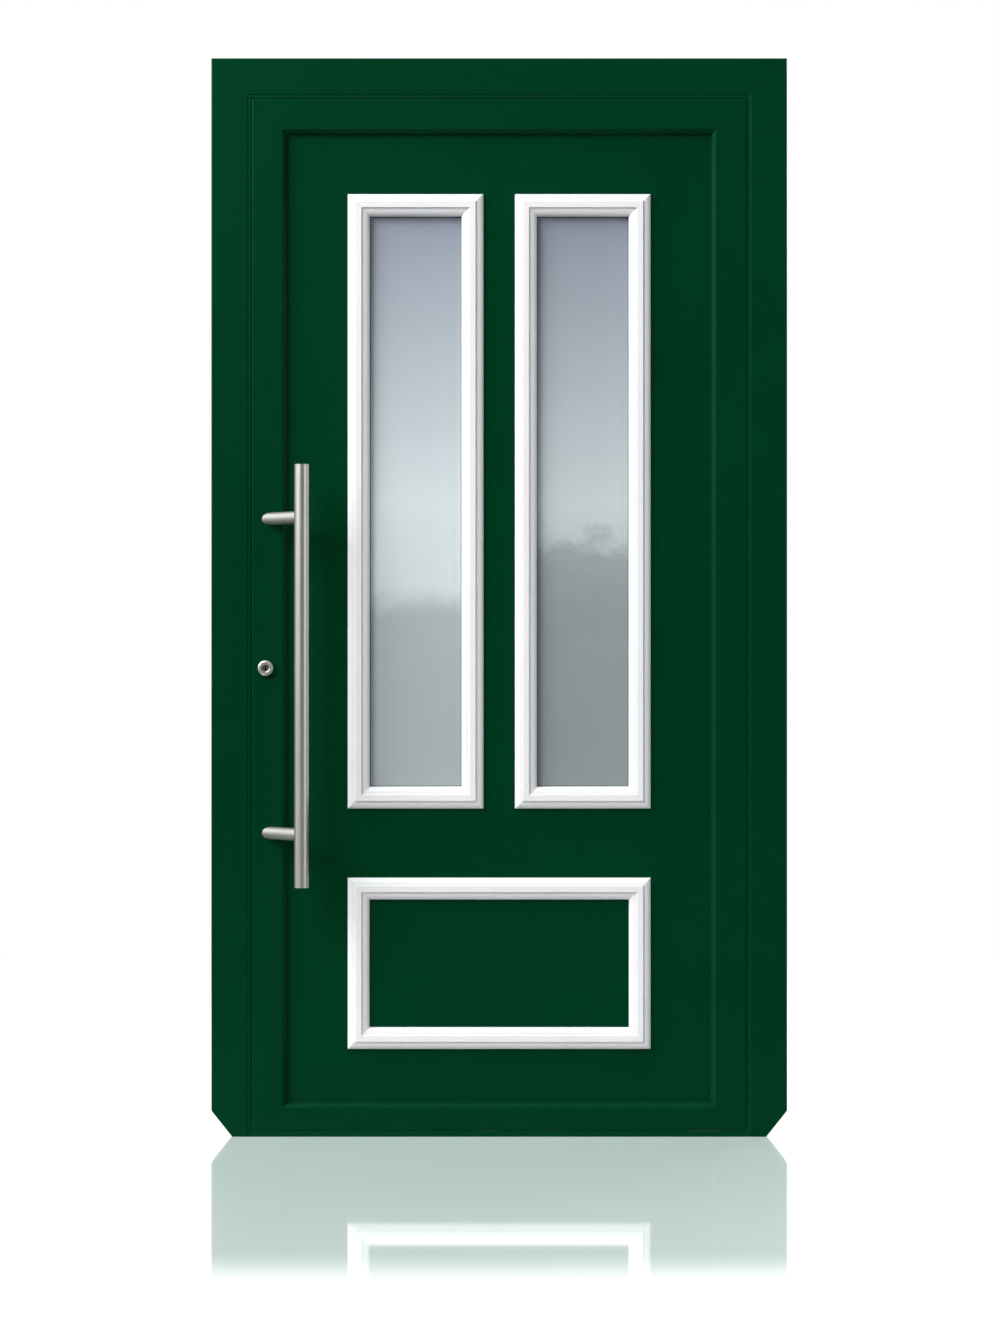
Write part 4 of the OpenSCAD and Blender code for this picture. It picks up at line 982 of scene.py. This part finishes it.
class DOOR_OT_stage(bpy.types.Operator):
    """Set the pale floor, the soft lights and the camera"""

    bl_idname = "door.stage"
    bl_label = "Stage"

    def execute(self, context):
        stage = context.scene.door_stage
        self.lay_floor(context, stage)
        self.light(context, stage)
        self.surround(context, stage)
        camera = bpy.data.cameras.new("camera")
        camera.sensor_width = SENSOR
        camera.lens = SENSOR * stage.distance / stage.span
        camera.clip_end = CAMERA_REACH
        eye = bpy.data.objects.new("camera", camera)
        eye.location = (CAMERA_X, FRONT - stage.distance, stage.eye)
        eye.rotation_euler = (math.pi / 2, 0.0, 0.0)
        context.scene.collection.objects.link(eye)
        context.scene.camera = eye
        context.scene.view_settings.view_transform = "Standard"
        return {"FINISHED"}

    def lay_floor(self, context, stage):
        """A round floor just under the door's feet: rings of radius R s^2, s from 0.02 to 1, and one face
        in the middle. It has a polished patch in front of the door, which glows a little green as a painted
        reflection of the green door."""
        t = np.linspace(0.0, 2 * math.pi, SECTORS, endpoint=False)
        r = stage.floor * np.linspace(0.02, 1.0, RINGS)[:, None] ** 2
        points = stacked(r * np.cos(t), r * np.sin(t), FLOOR_Z)
        index = np.arange(RINGS * SECTORS).reshape(RINGS, SECTORS)
        ring = np.concatenate([index, index[:, :1]], 1)
        quads = np.stack([ring[:-1, :-1], ring[1:, :-1], ring[1:, 1:], ring[:-1, 1:]], -1).reshape(-1, 4)
        mesh = bpy.data.meshes.new("floor")
        mesh.from_pydata(points.reshape(-1, 3), [], quads.tolist() + [index[0].tolist()])
        f = Finish("pale_floor")
        away = f.at.measure("LENGTH", f.at)
        pale = f.at.noise(3.0, 4.0).tint(*FLOOR_TONES)
        seen = camera_ray(f.tree)
        f.shade({"Base Color": seen.tint(FLOOR_BOUNCE, pale),
                 "Roughness": 0.1 + away.ease(0.1, 1.6) * 0.3,
                 "Emission Color": seen.tint(BLACK, WHITE)}, {"Emission Strength": 0.25})
        matt = Wire(f.tree, f.shader.outputs[0])
        ahead = (1.0 - abs(f.y).ease(*PATCH_AHEAD)) * (1.0 - f.y.ease(*PATCH_BEHIND))
        patch = ahead * (1.0 - abs(f.x).ease(*PATCH_ASIDE))
        # seen from the camera the floor glows white, and green in the patch as a painted reflection of the
        # door; other rays see a dim even glow
        glow_and_painted_reflection = seen.tint(BOUNCE_GLOW, patch.tint(WHITE, PATCH_PAINTED_GREEN_REFLECTION))
        glow = f.at.node("ShaderNodeEmission", {}, {"Color": glow_and_painted_reflection, "Strength": 1.0})
        share = 0.6 + away.ease(*FLOOR_FADE) * 0.4
        plain = f.at.node("ShaderNodeMixShader", {}, {0: share, 1: matt, 2: glow})
        polish = f.at.node("ShaderNodeBsdfGlossy", {}, {"Color": (*WHITE, 1.0), "Roughness": 0.04})
        face = f.at.node("ShaderNodeMixShader", {}, {0: patch * stage.polish, 1: plain, 2: polish})
        f.tree.links.new(face.socket, f.output.inputs["Surface"])
        mesh.materials.append(f.material)
        floor = bpy.data.objects.new("floor", mesh)
        context.scene.collection.objects.link(floor)

    def light(self, context, stage):
        """One large soft key light from the upper left, a tall strip on the left, a softbox on the right
        and one on the room side. Each is tilted by atan2(level distance, drop) and turned by atan2(y, x)
        less a quarter turn, to face the middle of the door."""
        powers = (stage.key, stage.fill_left, stage.fill_right, stage.fill_room)
        for (name, (spot, size)), power in zip(RIG.items(), powers):
            lamp = bpy.data.lights.new(name, "AREA")
            lamp.shape = "RECTANGLE"
            lamp.size, lamp.size_y = size
            lamp.energy = power
            lit = bpy.data.objects.new(name, lamp)
            lit.location = spot
            x, y, z = AIM - spot
            lit.rotation_euler = (math.atan2(math.hypot(x, y), -z), 0.0, math.atan2(y, x) - math.pi / 2)
            context.scene.collection.objects.link(lit)

    def surround(self, context, stage):
        """White backdrop in the picture; for light and reflections, a soft surround that is white behind
        the door, dimmer to its right and dim straight in front of it, as the dark end of a studio is."""
        world = bpy.data.worlds.new("studio")
        world.use_nodes = True
        tree = world.node_tree
        tree.nodes.clear()
        way = Wire(tree, tree.nodes.new("ShaderNodeTexCoord").outputs["Generated"])
        facing = way.measure("DOT_PRODUCT", way, (0.0, -1.0, 0.0))
        across = way.measure("DOT_PRODUCT", way, (1.0, 0.0, 0.0))
        soft = (across.ease(0.0, 0.7) * 0.6).tint((stage.ambient,) * 3, DIM)
        soft = facing.ease(0.74, 0.94).tint(soft, DIM)
        soft = (-1.0 * facing).ease(0.35, 0.75).tint(soft, WHITE)
        back = tree.nodes.new("ShaderNodeBackground")
        tree.links.new(camera_ray(tree).tint(soft, WHITE).socket, back.inputs[0])
        out = tree.nodes.new("ShaderNodeOutputWorld")
        tree.links.new(back.outputs[0], out.inputs[0])
        context.scene.world = world


class DOOR_PT_panel(bpy.types.Panel):
    """Steps and values of the front door"""

    bl_idname = "DOOR_PT_panel"
    bl_label = "Panelled front door"
    bl_space_type = "VIEW_3D"
    bl_region_type = "UI"
    bl_category = "Door"

    def draw(self, context):
        for step in STEPS:
            self.layout.operator(step.bl_idname)
        for group in (context.scene.door_finishes, context.scene.door_details, context.scene.door_stage):
            box = self.layout.box()
            for name in group.__annotations__:
                box.prop(group, name)


STEPS = (DOOR_OT_finish_nodes, DOOR_OT_glazing_lips, DOOR_OT_glass_seals, DOOR_OT_draught_seals,
         DOOR_OT_joint_seals, DOOR_OT_hinge_screws, DOOR_OT_lock_screws, DOOR_OT_post_washers,
         DOOR_OT_stage)
CLASSES = (DoorFinishes, DoorDetails, DoorStage) + STEPS + (DOOR_PT_panel,)


def register():
    """Registers the classes and hangs their values on the scene."""
    for c in CLASSES:
        bpy.utils.register_class(c)
    bpy.types.Scene.door_finishes = bpy.props.PointerProperty(type=DoorFinishes)
    bpy.types.Scene.door_details = bpy.props.PointerProperty(type=DoorDetails)
    bpy.types.Scene.door_stage = bpy.props.PointerProperty(type=DoorStage)


def unregister():
    """Takes the values off the scene and unregisters the classes."""
    del bpy.types.Scene.door_stage
    del bpy.types.Scene.door_details
    del bpy.types.Scene.door_finishes
    for c in reversed(CLASSES):
        bpy.utils.unregister_class(c)


def main():
    """Runs every step in order."""
    register()
    bpy.ops.door.finish_nodes()
    bpy.ops.door.glazing_lips()
    bpy.ops.door.glass_seals()
    bpy.ops.door.draught_seals()
    bpy.ops.door.joint_seals()
    bpy.ops.door.hinge_screws()
    bpy.ops.door.lock_screws()
    bpy.ops.door.post_washers()
    bpy.ops.door.stage()


if __name__ == "__main__":
    main()
